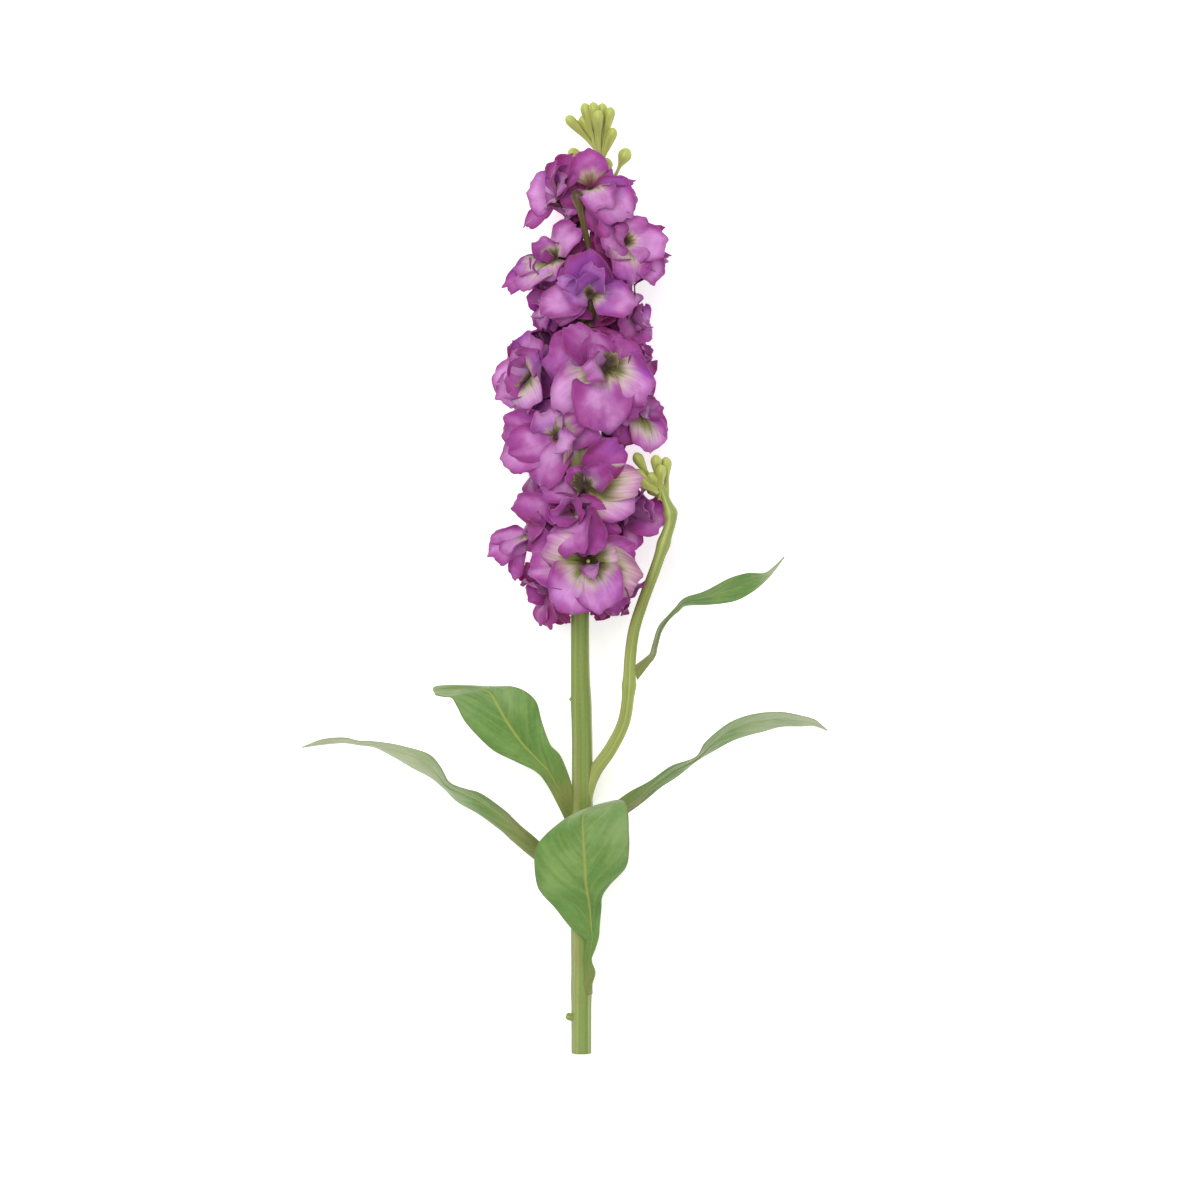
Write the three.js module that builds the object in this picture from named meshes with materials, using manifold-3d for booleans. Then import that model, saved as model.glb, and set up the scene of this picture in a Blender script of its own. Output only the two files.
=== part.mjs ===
import * as THREE from "three";
import { mergeVertices } from "three/addons/utils/BufferGeometryUtils.js";
import Module from "manifold-3d";

// A cut stem of double-flowered stock, lying on a table. Sizes are in millimetres.
// +Y runs along the stem to the flower's tip, +X to its right and +Z up from the table.
// Every piece is worked out where it grows, so the meshes share this frame and need no placing.

const wasm = await Module();
wasm.setup();

// Driving dimensions
const halfLength = 190; // from the middle to the cut end, and to the top bud's tip
const halfSpread = 105; // from the middle to either long leaf's tip
const stemRadius = 3.8;
const stemTipRadius = 1.3;
const stemTopY = 167;
const axisHeight = 26.5; // the flower head's axis above the table
const headBottomY = 0; // where the stem begins to sink towards the cut end
const petalThickness = 0.9;
const leafThickness = 1.3;
const seatGap = 0.3; // left between a piece and what carries it
const pressGap = 0.3; // left between petals of neighbouring florets
const cutEndHeight = stemRadius * 0.97; // the axis there; the stem rests a little flattened

const colours = {
  stem: 0x87a455,
  bud: 0xa3b85c,
  petal: 0xa94fae,
  leaf: 0x5f9a55,
};

// Small sums

const degrees = Math.PI / 180;
const vec = (x, y, z) => new THREE.Vector3(x, y, z);
const along = (a, b, share) => a.clone().lerp(b, share);
const mix = (a, b, share) => a + (b - a) * share;

function smooth(t) {
  const s = Math.min(1, Math.max(0, t));
  return s * s * (3 - 2 * s);
}

// A repeatable number from 0 to 1 for a seed and a counter.
function chance(seed, counter) {
  const n = Math.sin(seed * 12.9898 + counter * 78.233) * 43758.5453;
  return n - Math.floor(n);
}

// The same, from -1 to 1.
const sway = (seed, counter) => 2 * chance(seed, counter) - 1;

// A point on the smooth curve through a list of points, at a share from 0 to 1.
function onCurve(points, share) {
  const last = points.length - 1;
  const at = Math.min(last - 1e-9, Math.max(0, share * last));
  const i = Math.floor(at);
  const t = at - i;
  const [a, b] = [points[Math.max(0, i - 1)], points[i]];
  const [c, d] = [points[i + 1], points[Math.min(last, i + 2)]];
  return a.map((_, k) => {
    const slopeIn = (c[k] - a[k]) / 2;
    const slopeOut = (d[k] - b[k]) / 2;
    const rise = b[k] - c[k];
    const bend = -3 * rise - 2 * slopeIn - slopeOut;
    const twist = 2 * rise + slopeIn + slopeOut;
    return b[k] + t * (slopeIn + t * (bend + t * twist));
  });
}

// Solids

function toSolid(geometry) {
  const bare = new THREE.BufferGeometry();
  bare.setAttribute("position", geometry.getAttribute("position"));
  if (geometry.index) bare.setIndex(geometry.index);
  const merged = mergeVertices(bare, 1e-4);
  return new wasm.Manifold(
    new wasm.Mesh({
      numProp: 3,
      vertProperties: new Float32Array(merged.attributes.position.array),
      triVerts: new Uint32Array(merged.index.array),
    }),
  );
}

function toGeometry(solid) {
  const { vertProperties, triVerts } = solid.getMesh();
  const geometry = new THREE.BufferGeometry();
  geometry.setAttribute("position", new THREE.BufferAttribute(vertProperties, 3));
  geometry.setIndex(new THREE.BufferAttribute(triVerts, 1));
  geometry.computeVertexNormals();
  return geometry;
}

function geometryOf(points, triangles) {
  const geometry = new THREE.BufferGeometry();
  geometry.setAttribute("position", new THREE.Float32BufferAttribute(points.flatMap((p) => p.toArray()), 3));
  geometry.setIndex(triangles.flat());
  return geometry;
}

const join = (solids) => solids.reduce((whole, piece) => whole.add(piece));

// The largest connected body: cutting a petal can leave a loose scrap.
function mainBody(solid) {
  return solid.decompose().reduce((best, body) => (body.volume() > best.volume() ? body : best));
}

// A closed tube through points, with its own radius at each. up gives the side its corners start from.
function tube(points, radii, sides, up = vec(0, 0, 1)) {
  const rings = points.map((p, i) => {
    const ahead = points[Math.min(i + 1, points.length - 1)];
    const behind = points[Math.max(i - 1, 0)];
    const way = ahead.clone().sub(behind).normalize();
    const side = up.clone().cross(way).normalize();
    const top = way.clone().cross(side);
    return Array.from({ length: sides }, (_, k) => {
      const turn = (2 * Math.PI * (k + 0.5)) / sides;
      return p
        .clone()
        .addScaledVector(side, radii[i] * Math.sin(turn))
        .addScaledVector(top, radii[i] * Math.cos(turn));
    });
  });
  const vertices = [...rings.flat(), points[0], points[points.length - 1]];
  const startCap = vertices.length - 2;
  const endCap = vertices.length - 1;
  const triangles = [];
  for (let k = 0; k < sides; k++) {
    const next = (k + 1) % sides;
    for (let i = 0; i < rings.length - 1; i++) {
      const [a, b, c, d] = [i * sides + k, i * sides + next, (i + 1) * sides + k, (i + 1) * sides + next];
      triangles.push([a, c, b], [b, c, d]);
    }
    const lastRing = (rings.length - 1) * sides;
    triangles.push([startCap, k, next], [endCap, lastRing + next, lastRing + k]);
  }
  return toSolid(geometryOf(vertices, triangles));
}

// A closed blade round a middle surface: a grid of points whose rim is sharp and whose
// inside is thickened to both sides, split into triangles alike on both faces.
function blade(surface, rows, columns, thickness) {
  const point = (i, j) => surface(i / rows, (2 * j) / columns - 1);
  const grid = [];
  for (let i = 0; i <= rows; i++) {
    grid.push(Array.from({ length: columns + 1 }, (_, j) => point(i, j)));
  }
  const vertices = [];
  const upper = [];
  const lower = [];
  for (let i = 0; i <= rows; i++) {
    upper.push([]);
    lower.push([]);
    for (let j = 0; j <= columns; j++) {
      const onRim = i === 0 || i === rows || j === 0 || j === columns;
      if (onRim) {
        upper[i][j] = lower[i][j] = vertices.push(grid[i][j]) - 1;
        continue;
      }
      const lengthways = grid[i + 1][j].clone().sub(grid[i - 1][j]);
      const across = grid[i][j + 1].clone().sub(grid[i][j - 1]);
      const half = across.cross(lengthways).setLength(thickness / 2);
      upper[i][j] = vertices.push(grid[i][j].clone().add(half)) - 1;
      lower[i][j] = vertices.push(grid[i][j].clone().sub(half)) - 1;
    }
  }
  const triangles = [];
  for (let i = 0; i < rows; i++) {
    for (let j = 0; j < columns; j++) {
      const corners = (face) => [face[i][j], face[i][j + 1], face[i + 1][j], face[i + 1][j + 1]];
      const [a, b, c, d] = corners(upper);
      const [e, f, g, h] = corners(lower);
      const leftHalf = 2 * j < columns;
      if (leftHalf) {
        triangles.push([a, b, c], [b, d, c], [e, g, f], [f, g, h]);
      } else {
        triangles.push([a, b, d], [a, d, c], [e, h, f], [e, g, h]);
      }
    }
  }
  return toSolid(geometryOf(vertices, triangles));
}

// The main stem

// It lies flat at its cut end, rises to the head and runs level through it.
function stemAt(y) {
  const x = 6.4 + 7.2 * smooth((y + 20) / 190) + 0.7 * smooth((-110 - y) / 80);
  const low = 1 - smooth((y + halfLength) / (halfLength + headBottomY));
  return vec(x, y, mix(axisHeight, cutEndHeight, low));
}

const stemRadiusAt = (y) => mix(stemRadius, stemTipRadius, smooth(y / stemTopY));

function stemTube(extra = 0) {
  const steps = 18;
  const points = [];
  const radii = [];
  for (let i = 0; i <= steps; i++) {
    const y = mix(-halfLength, stemTopY, i / steps);
    points.push(stemAt(y));
    radii.push(stemRadiusAt(y) + extra);
  }
  return tube(points, radii, 8);
}

// A scar left by a fallen leaf: a short stub that points up along the stem.
const scarSize = { footRadius: 1.6, tipRadius: 0.9, height: 1.6, slant: 0.35 };
const scars = [
  { y: -50.5, azimuth: -80 },
  { y: -174, azimuth: -85 },
  { y: -128, azimuth: 130 },
];

function leafScar({ y, azimuth }) {
  const foot = stemAt(y);
  const out = vec(Math.sin(azimuth * degrees), scarSize.slant, Math.cos(azimuth * degrees));
  const tip = foot.clone().addScaledVector(out, stemRadius + scarSize.height);
  return tube([foot, tip], [scarSize.footRadius, scarSize.tipRadius], 5);
}

// Florets

// y: the throat's place along the stem. azimuth: the way the floret faces round the stem, 0 up
// from the table and 90 to the right. out: the throat's distance from the stem's axis.
// size: an outer petal's length. rise: how far the face tilts to the flower's tip.
// roll: turns the ring of petals. Half-open florets have short, upright petals.
const florets = [
  { y: 158, azimuth: -6, out: 12, size: 20, rise: 36, roll: 20 },
  { y: 157, azimuth: -68, out: 15, size: 19, rise: 22, roll: 40 },
  { y: 135, azimuth: 44, out: 18, size: 20, rise: 4, roll: 0 },
  { y: 132, azimuth: -54, out: 19, size: 21, rise: 16, roll: 15 },
  { y: 117, azimuth: -4, out: 20, size: 22, rise: 14, roll: 30 },
  { y: 110, azimuth: -76, out: 21, size: 20, rise: -4, roll: 50 },
  { y: 104, azimuth: 68, out: 18, size: 19, rise: 2, roll: 10 },
  { y: 80.5, azimuth: 5, out: 24, size: 26, rise: 2, roll: 35 },
  { y: 82, azimuth: -64, out: 25, size: 21, rise: 4, roll: 0 },
  { y: 92, azimuth: 92, out: 17, size: 17, rise: 14, roll: 60 },
  { y: 65, azimuth: 64, out: 22, size: 20, rise: -16, roll: 20 },
  { y: 55, azimuth: -38, out: 22, size: 24, rise: 0, roll: 10 },
  { y: 46, azimuth: -98, out: 19, size: 19, rise: 0, roll: 30 },
  { y: 36.5, azimuth: 9, out: 23, size: 23, rise: 4, roll: 55 },
  { y: 26, azimuth: -28, out: 22, size: 16, rise: 2, roll: 10, halfOpen: true },
  { y: 28, azimuth: 70, out: 20, size: 20, rise: -4, roll: 0 },
  { y: 18, azimuth: -76, out: 24, size: 20, rise: -8, roll: 45 },
  { y: 6.5, azimuth: 8, out: 23, size: 25.5, rise: -4, roll: 12 },
  { y: -4, azimuth: -90, out: 14, size: 20, rise: -14, roll: 0 },
  { y: -4, azimuth: 92, out: 14, size: 19, rise: -14, roll: 30 },
];

// The side that faces the table: three files of florets, pressed by the head's weight.
const backFlorets = {
  count: 11,
  firstY: 9,
  spacing: 13.6,
  azimuths: [120, 238, 180],
  out: [19, 19, 21.5],
  size: 20.5,
  taper: 0.2, // by which each is smaller than the one before
};
for (let i = 0; i < backFlorets.count; i++) {
  const file = i % 3;
  florets.push({
    y: backFlorets.firstY + backFlorets.spacing * i,
    azimuth: backFlorets.azimuths[file],
    out: backFlorets.out[file],
    size: backFlorets.size - backFlorets.taper * i,
    rise: 6,
    roll: 24 * i,
  });
}

const throatLength = 2.6; // from the calyx's mouth to the throat
const petalFloor = 0.05; // petals that would reach the table lie flat on it
const calyxShare = 0.36; // of the throat's distance from the axis

florets.forEach((floret, i) => {
  const turn = floret.azimuth * degrees;
  const rise = floret.rise * degrees;
  const outward = vec(Math.sin(turn), 0, Math.cos(turn));
  floret.seed = i + 1;
  floret.throat = stemAt(floret.y).addScaledVector(outward, floret.out);
  floret.facing = outward.clone().multiplyScalar(Math.cos(rise)).add(vec(0, Math.sin(rise), 0));
  floret.rank = Math.cos(turn);
  // down: the way to the stem's cut end across the floret's face, from which petals are counted
  floret.down = vec(0, -1, 0).addScaledVector(floret.facing, floret.facing.y).normalize();
  floret.right = floret.facing.clone().cross(floret.down);
});

// Crowded petals stop short of their neighbours and fold outwards instead.
const crowding = { even: 0.5, frontGains: 0.12, give: 1.6, lift: 0.6, mostLift: 12, reach: 8 };

function crowd(point, floret) {
  let lift = 0;
  for (const other of florets) {
    if (other === floret) continue;
    const way = other.throat.clone().sub(floret.throat);
    const distance = way.length();
    if (distance > floret.size + other.size + crowding.reach) continue;
    way.divideScalar(distance);
    const gains = crowding.frontGains * (floret.rank - other.rank);
    const limit = distance * (crowding.even + gains);
    const past = point.clone().sub(floret.throat).dot(way) - limit;
    if (past <= 0) continue;
    const back = past - crowding.give * (1 - Math.exp(-past / crowding.give));
    point.addScaledVector(way, -back);
    lift += back;
  }
  return point.addScaledVector(floret.facing, crowding.lift * Math.min(lift, crowding.mostLift));
}

// How far a petal's middle line has gone along the floret's axis and out from it, at each
// share of its length: it leaves the throat steeply and bends over to spread.
function petalPath(steep, spread, bendEnd, curl) {
  const steps = 32;
  const path = [[0, 0]];
  for (let i = 0; i < steps; i++) {
    const t = (i + 0.5) / steps;
    const angle = (mix(steep, spread, smooth(t / bendEnd)) + curl * t * t * t) * degrees;
    const [up, out] = path[i];
    path.push([up + Math.cos(angle) / steps, out + Math.sin(angle) / steps]);
  }
  return (t) => {
    const at = Math.min(steps - 1e-9, Math.max(0, t * steps));
    const i = Math.floor(at);
    return [mix(path[i][0], path[i + 1][0], at - i), mix(path[i][1], path[i + 1][1], at - i)];
  };
}

// The whorls of petals, from the outermost. size: a petal's length as a share of the floret's.
// steps: how many columns of points a petal has. rows: the shares of its length they stand at.
const outerWhorl = {
  petals: 5,
  size: 1,
  spread: 80,
  bendEnd: 0.62,
  curl: 18,
  cup: 0.1,
  ruffle: 0.08,
  turn: 0,
};
const middleWhorl = {
  petals: 4,
  size: 0.72,
  spread: 34,
  bendEnd: 0.6,
  curl: 36,
  cup: 0.2,
  ruffle: 0.06,
  turn: 20,
};
const heartWhorl = {
  petals: 3,
  size: 0.42,
  spread: 16,
  bendEnd: 0.6,
  curl: 20,
  cup: 0.3,
  ruffle: 0.03,
  turn: 50,
};
const fineWhorls = [
  { ...outerWhorl, steps: 4, rows: [0.4, 0.74, 1] },
  { ...middleWhorl, steps: 3, rows: [0.6, 1] },
  { ...heartWhorl, steps: 3, rows: [1] },
];
const plainWhorls = [
  { ...outerWhorl, steps: 3, rows: [0.48, 1] },
  { ...middleWhorl, steps: 3, rows: [1] },
];
const whorlsOf = (floret) => (floret.rank > 0.75 && !floret.halfOpen ? fineWhorls : plainWhorls);

const halfOpenBud = { widestSpread: 46, extraCup: 0.3 };
const widthOfLength = 1.04;

// One petal's shape from its floret, its whorl and its place in it.
function petalShape(floret, whorl, k) {
  const seed = floret.seed * 10 + whorl.turn;
  const size = floret.size * whorl.size * (1 + 0.1 * sway(seed, k));
  const spread = floret.halfOpen ? Math.min(halfOpenBud.widestSpread, whorl.spread) : whorl.spread;
  return {
    turn: floret.roll + (360 * k) / whorl.petals + whorl.turn + 7 * sway(seed, k + 20),
    length: size,
    width: size * widthOfLength * (1 + 0.1 * sway(seed, k + 40)),
    path: petalPath(20, spread + 8 * sway(seed, k + 60), whorl.bendEnd, whorl.curl),
    cup: whorl.cup + 0.1 * sway(seed, k + 80) + (floret.halfOpen ? halfOpenBud.extraCup : 0),
    ruffle: whorl.ruffle * floret.size,
    waves: 1.7 + 0.4 * sway(seed, k + 100),
    phase: Math.PI * (0.5 + 0.4 * sway(seed, k + 120)),
  };
}

// A petal's outline is a fan: its reach falls off to the sides and has a nick at the middle,
// and its width opens from a narrow claw.
const clawShare = 0.17;
const clawDepth = 1.6; // how far below the throat's mouth a petal starts
const clawOut = 0.8; // and how far from the floret's axis
const rimShare = (v) => 1 - 0.4 * (1 - Math.sqrt(1 - 0.92 * v * v)) - 0.06 * Math.exp(-((v / 0.18) ** 2));
const widthShare = (u) => clawShare + (1 - clawShare) * smooth(u / 0.8);

// u runs from the claw to the rim and v from edge to edge, -1 to 1.
function petalPoint(floret, petal, u, v) {
  const turn = petal.turn * degrees;
  const outward = floret.down
    .clone()
    .multiplyScalar(Math.cos(turn))
    .addScaledVector(floret.right, Math.sin(turn));
  const sideways = floret.facing.clone().cross(outward);
  const share = u * rimShare(v);
  const [up, out] = petal.path(share);
  const [upNext, outNext] = petal.path(share + 0.02);
  const lean = Math.atan2(outNext - out, upNext - up);
  const halfWidth = (petal.width / 2) * widthShare(u);
  const wave = petal.ruffle * u * u * Math.sin(Math.PI * petal.waves * v + petal.phase);
  const bend = halfWidth * petal.cup * v * v * u + wave;
  const point = floret.throat
    .clone()
    .addScaledVector(floret.facing, petal.length * up - clawDepth + bend * Math.sin(lean))
    .addScaledVector(outward, petal.length * out + clawOut - bend * Math.cos(lean))
    .addScaledVector(sideways, v * halfWidth);
  crowd(point, floret);
  point.z = Math.max(point.z, petalFloor);
  return point;
}

// Where a whorl starts: the outer one on the calyx's mouth, the others inside its throat.
const outerFoot = { depth: throatLength, radius: 2.2 };
const innerFoot = { depth: 1.4, radius: 1.1 };
const heartHeight = 0.4;
const notch = 0.86; // how far across its half width a petal is free of the next one
const notchDepth = 0.16;

// A whorl is one closed body: its petals share their edges up to a notch, and all of them
// grow from a short throat that sits on the calyx's mouth.
function whorlSolid(floret, whorl, extraThickness = 0) {
  const { petals, steps, rows } = whorl;
  const shapes = Array.from({ length: petals }, (_, k) => petalShape(floret, whorl, k));
  const columns = petals * steps;
  const middle = rows.map((u) =>
    Array.from({ length: columns }, (_, j) => {
      const k = Math.floor(j / steps);
      const step = j % steps;
      if (step > 0) return petalPoint(floret, shapes[k], u, (2 * step) / steps - 1);
      const before = shapes[(k + petals - 1) % petals];
      const reach = u * (1 - notchDepth * u);
      const mine = petalPoint(floret, shapes[k], reach, -notch);
      return along(mine, petalPoint(floret, before, reach, notch), 0.5);
    }),
  );
  const at = (distance) => floret.throat.clone().addScaledVector(floret.facing, distance);
  const { depth, radius } = whorl === whorlsOf(floret)[0] ? outerFoot : innerFoot;
  const foot = at(-depth);
  const footRing = Array.from({ length: columns }, (_, j) => {
    const turn = (floret.roll + whorl.turn + (360 * (j - steps / 2)) / columns) * degrees;
    return foot
      .clone()
      .addScaledVector(floret.down, radius * Math.cos(turn))
      .addScaledVector(floret.right, radius * Math.sin(turn));
  });
  const heart = at(heartHeight);
  const last = rows.length - 1;
  const half = (petalThickness + extraThickness) / 2;
  const normals = middle.map((row, i) =>
    row.map((_, j) => {
      const inner = i > 0 ? middle[i - 1][j] : heart;
      const outer = middle[Math.min(last, i + 1)][j];
      const across = row[(j + 1) % columns].clone().sub(row[(j + columns - 1) % columns]);
      return outer.clone().sub(inner).cross(across).setLength(half);
    }),
  );
  const shifted = (way) =>
    middle.map((row, i) =>
      row.map((p, j) => (i === last ? p : p.clone().addScaledVector(normals[i][j], way))),
    );
  const under = shifted(-1);
  const over = shifted(1);
  const rings = [footRing, ...under, ...over.slice(0, last).reverse()];
  const points = [foot, ...rings.flat(), heart];
  const end = points.length - 1;
  const id = (i, j) => 1 + i * columns + (j % columns);
  const triangles = [];
  for (let j = 0; j < columns; j++) {
    triangles.push([0, id(0, j + 1), id(0, j)]);
    for (let i = 0; i < rings.length - 1; i++) {
      // the same way to split each square on both faces: those of the upper face run back
      const [a, b, c, d] = [id(i, j), id(i, j + 1), id(i + 1, j), id(i + 1, j + 1)];
      if (i <= last) triangles.push([a, b, c], [b, d, c]);
      else triangles.push([a, b, d], [a, d, c]);
    }
    triangles.push([id(rings.length - 1, j), id(rings.length - 1, j + 1), end]);
  }
  return toSolid(geometryOf(points, triangles));
}

function floretSolid(floret, extraThickness = 0) {
  return join(whorlsOf(floret).map((whorl) => whorlSolid(floret, whorl, extraThickness)));
}

const calyxRadii = [1.2, 1.3, 2.4]; // at its root, where it swells and at its mouth

// The green stalk and calyx that carry a floret, rooted in the stem.
function calyxSolid(floret, extra = 0) {
  const mouth = floret.throat.clone().addScaledVector(floret.facing, -throatLength - seatGap + extra);
  const length = calyxShare * floret.out;
  const base = mouth.clone().addScaledVector(floret.facing, -length);
  const root = stemAt(floret.y - 3 - 0.15 * floret.out);
  return tube([root, base, mouth], calyxRadii.map((r) => r + extra), 5, floret.down);
}

// Buds

// A bud is a club: a thin stalk that swells into a round head. Shares are of the way from its
// neck to its tip.
const budHead = { length: 2.5, shortestNeck: 0.25, belly: 0.42, crown: 0.8, tipRadius: 0.5 };

function bud(root, tip, headRadius, stalkRadius, extra = 0) {
  const headLength = budHead.length * headRadius;
  const share = Math.max(budHead.shortestNeck, 1 - headLength / root.distanceTo(tip));
  const neck = along(root, tip, share);
  const belly = along(neck, tip, budHead.belly);
  const crown = along(neck, tip, budHead.crown);
  const radii = [stalkRadius, stalkRadius * 1.1, headRadius, headRadius * 0.85, budHead.tipRadius];
  return tube([root, neck, belly, crown, tip], radii.map((r) => r + extra), 5);
}

const topBudRadius = 2.4;
const topBudStalk = 1.5;
const topBuds = {
  root: [13.8, 160, 27],
  tips: [
    [14.4, halfLength, 29],
    [7.6, 189.4, 25],
    [11, 189.6, 31],
    [18.4, 188.4, 24],
    [1, 184.4, 27],
    [20.2, 179.8, 30],
    [12.5, 186.6, 20],
    [6, 181.6, 33],
  ],
};

const looseBudRadius = 2.1;
const looseBudStalk = 0.9;
const looseBuds = [
  { y: 146, tip: [25.6, 171.6, 30] },
  { y: 148, tip: [2.2, 172.4, 25] },
  { y: 128, tip: [4.4, 154, 45] },
  { y: 140, tip: [17, 168, 17] },
];

// The side shoot

const shoot = {
  spine: [
    [8.4, -94, 15.6],
    [12.6, -78, 18.6],
    [17.6, -68.8, 20.4],
    [23, -57.5, 23],
    [25.4, -44.8, 25.5],
    [25.8, -32.8, 28],
    [27.2, -20.8, 30.5],
    [31.4, -8.8, 32.5],
    [35.6, 3.2, 34.2],
    [39.4, 15.2, 35.8],
    [41.4, 24, 37],
    [40.4, 31, 38],
  ],
  baseRadius: 2.9,
  tipRadius: 1.5,
};

const shootNode = { foot: [40.6, 24, 37], tip: [43.6, 28.6, 38], radii: [1.8, 1.1] };
const shootBudRadius = 2.2;
const shootBudStalk = 1.2;
const shootBuds = {
  root: [40.4, 30, 38],
  tips: [
    [28.4, 50, 40],
    [28.2, 43.4, 36],
    [35, 49.6, 42],
    [41, 48.6, 37],
    [29.4, 37.6, 42],
    [34, 44.6, 33],
  ],
};

function shootTube(extra = 0) {
  const steps = 13;
  const points = [];
  const radii = [];
  for (let i = 0; i <= steps; i++) {
    points.push(vec(...onCurve(shoot.spine, i / steps)));
    radii.push(mix(shoot.baseRadius, shoot.tipRadius, smooth((1.3 * i) / steps)) + extra);
  }
  return tube(points, radii, 6);
}

function sideShoot(extra = 0) {
  const root = vec(...shootBuds.root);
  const heads = shootBuds.tips.map((tip) => bud(root, vec(...tip), shootBudRadius, shootBudStalk, extra));
  const node = tube([vec(...shootNode.foot), vec(...shootNode.tip)], shootNode.radii, 6);
  return join([shootTube(extra), node, ...heads]);
}

// Leaves

// Each leaf is a row of stations from its root to its tip: the midrib, then the two edges.
// A leaf narrows to a winged stalk at its root. The last station is the tip.
const leaves = {
  leaf_upper_left: [
    [[1.4, -94, 15.8], [2.8, -92.8, 16.6], [-0.4, -95, 15.6]],
    [[-3, -86, 19], [2, -86, 20.4], [-5.6, -87.8, 19.4]],
    [[-6.2, -80.4, 21.5], [-0.4, -77.6, 23.4], [-10, -80.8, 22.6]],
    [[-16.6, -68.4, 26], [-6.4, -61.8, 28.6], [-21.4, -71, 29.4]],
    [[-24.6, -53.2, 30.4], [-11.4, -48.2, 32.4], [-36.2, -60, 33.8]],
    [[-29, -46.4, 31], [-19, -43.4, 32], [-44.2, -48.6, 31.4]],
    [[-38, -43.8, 26], [-30, -43, 24.5], [-49, -46.6, 26.2]],
    [[-51.8, -44.6, 19]],
  ],
  leaf_long_left: [
    [[2, -121, 11], [2.2, -119, 12.4], [1.6, -123, 10.2]],
    [[-9.8, -108.8, 15.6], [-10.6, -103.4, 17.4], [-9, -113.4, 14]],
    [[-21, -99.2, 20], [-20.2, -94.6, 24.4], [-22.6, -103.4, 15.4]],
    [[-33, -90, 23.4], [-32.4, -87.2, 30], [-33.8, -93.8, 17]],
    [[-43.4, -85, 25], [-41, -83.4, 32], [-45.2, -87.8, 17.6]],
    [[-51.4, -79.2, 24.4], [-49.6, -76, 30.4], [-52.4, -82, 18]],
    [[-58.8, -73.6, 22.4], [-56.6, -70.4, 27.6], [-60.4, -76.4, 17]],
    [[-70.6, -68.4, 18.4], [-69.4, -66.6, 23], [-71.6, -70.2, 13.8]],
    [[-87.8, -64.4, 12], [-87, -63.2, 15], [-88.4, -65.6, 9]],
    [[-halfSpread, -68.2, 4.4]],
  ],
  leaf_long_right: [
    [[10.6, -101.6, 14.2], [10, -100, 15.2], [11, -103.2, 13.2]],
    [[25, -88.6, 19], [22.8, -85.6, 21.4], [28, -91.4, 16.6]],
    [[37.8, -80, 23.4], [34.6, -78.6, 27.6], [40.6, -82.2, 17.4]],
    [[50.6, -73, 26], [48.2, -71.6, 32], [53, -74.4, 19]],
    [[59, -66, 27], [56, -64.6, 33.4], [62, -68, 19.6]],
    [[69.6, -59.6, 25], [66.6, -56.6, 32], [72.4, -63.4, 17.6]],
    [[82.2, -56, 20.6], [80.2, -53.4, 27], [83.2, -60.4, 13.6]],
    [[94.4, -55.8, 13.4], [94, -53.6, 18], [94.4, -58.6, 8.6]],
    [[halfSpread, -61.2, 4.6]],
  ],
  leaf_front: [
    [[9.4, -165.6, 9], [8, -165, 9.4], [10.8, -166, 8]],
    [[9.9, -156.8, 10.6], [8, -156.8, 11], [11.8, -156.6, 9.6]],
    [[10.2, -147, 12.4], [7, -146.8, 12.8], [13.4, -145.6, 11.6]],
    [[10.6, -139, 15], [4, -137.4, 15.8], [14.4, -137, 14.2]],
    [[9.6, -130, 19], [-4.6, -131, 20.4], [15.6, -130.4, 19]],
    [[8.8, -120.8, 24], [-11.6, -120, 25], [21.4, -120.4, 26.4]],
    [[7.8, -109.6, 29.4], [-11.2, -109.6, 29.6], [25.4, -109.4, 32.4]],
    [[7.4, -99.6, 33.2], [-6.6, -101.2, 33], [25.2, -97.4, 35.4]],
    [[7.4, -94, 34.4], [-0.8, -96.4, 34.2], [24.6, -89.4, 34.4]],
    [[11, -91, 32], [4.6, -93, 32], [21.4, -88.8, 31]],
    [[15, -89.6, 27]],
  ],
  leaf_shoot: [
    [[28.4, -36.8, 27.2], [28, -35.6, 28], [29, -38, 26.4]],
    [[33.4, -32.6, 27.4], [32.4, -31, 28.6], [34.8, -34, 26.4]],
    [[36, -28, 27.6], [35, -26.8, 29.2], [37.2, -28.8, 26]],
    [[37.4, -21.6, 28.6], [36, -20.6, 30.6], [39, -22.4, 26.6]],
    [[41.4, -15.2, 30], [40, -14, 33], [42.8, -16.2, 27]],
    [[47.8, -10, 31.6], [46.4, -7.4, 35], [49, -12.4, 27.6]],
    [[56.2, -7.6, 32], [54.2, -3.4, 36], [57.6, -12, 28]],
    [[67.4, -4.6, 30.4], [65, 0.6, 34], [69.4, -9, 27]],
    [[78.2, -0.4, 27], [76.8, 2.2, 29.4], [79.6, -3, 24.4]],
    [[88, 8.4, 20]],
  ],
};
const leafRows = 12;
const leafColumns = 4;
const leafWave = 0.7; // how far the edges wave to either side

function leafPoint(stations, seed, u, v) {
  const tip = stations[stations.length - 1][0];
  const rail = (k) => vec(...onCurve(stations.map((station) => station[k] ?? tip), u));
  const point = rail(0).lerp(rail(v < 0 ? 1 : 2), Math.abs(v));
  const width = rail(1).distanceTo(rail(2));
  point.z += leafWave * Math.sin(19 * u + 2.2 * v + seed) * v * v * smooth(width / 14);
  return point;
}

function leafSolid(stations, seed) {
  return blade((u, v) => leafPoint(stations, seed, u, v), leafRows, leafColumns, leafThickness);
}

// Putting the pieces together

const group = new THREE.Group();

function place(name, solid, colour, roughness) {
  const material = new THREE.MeshStandardMaterial({ color: colour, roughness, metalness: 0 });
  const mesh = new THREE.Mesh(toGeometry(solid), material);
  mesh.name = name;
  group.add(mesh);
}

// Each piece is cut clear of those already there: they are kept with a slightly larger copy.
const placed = [];

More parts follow.
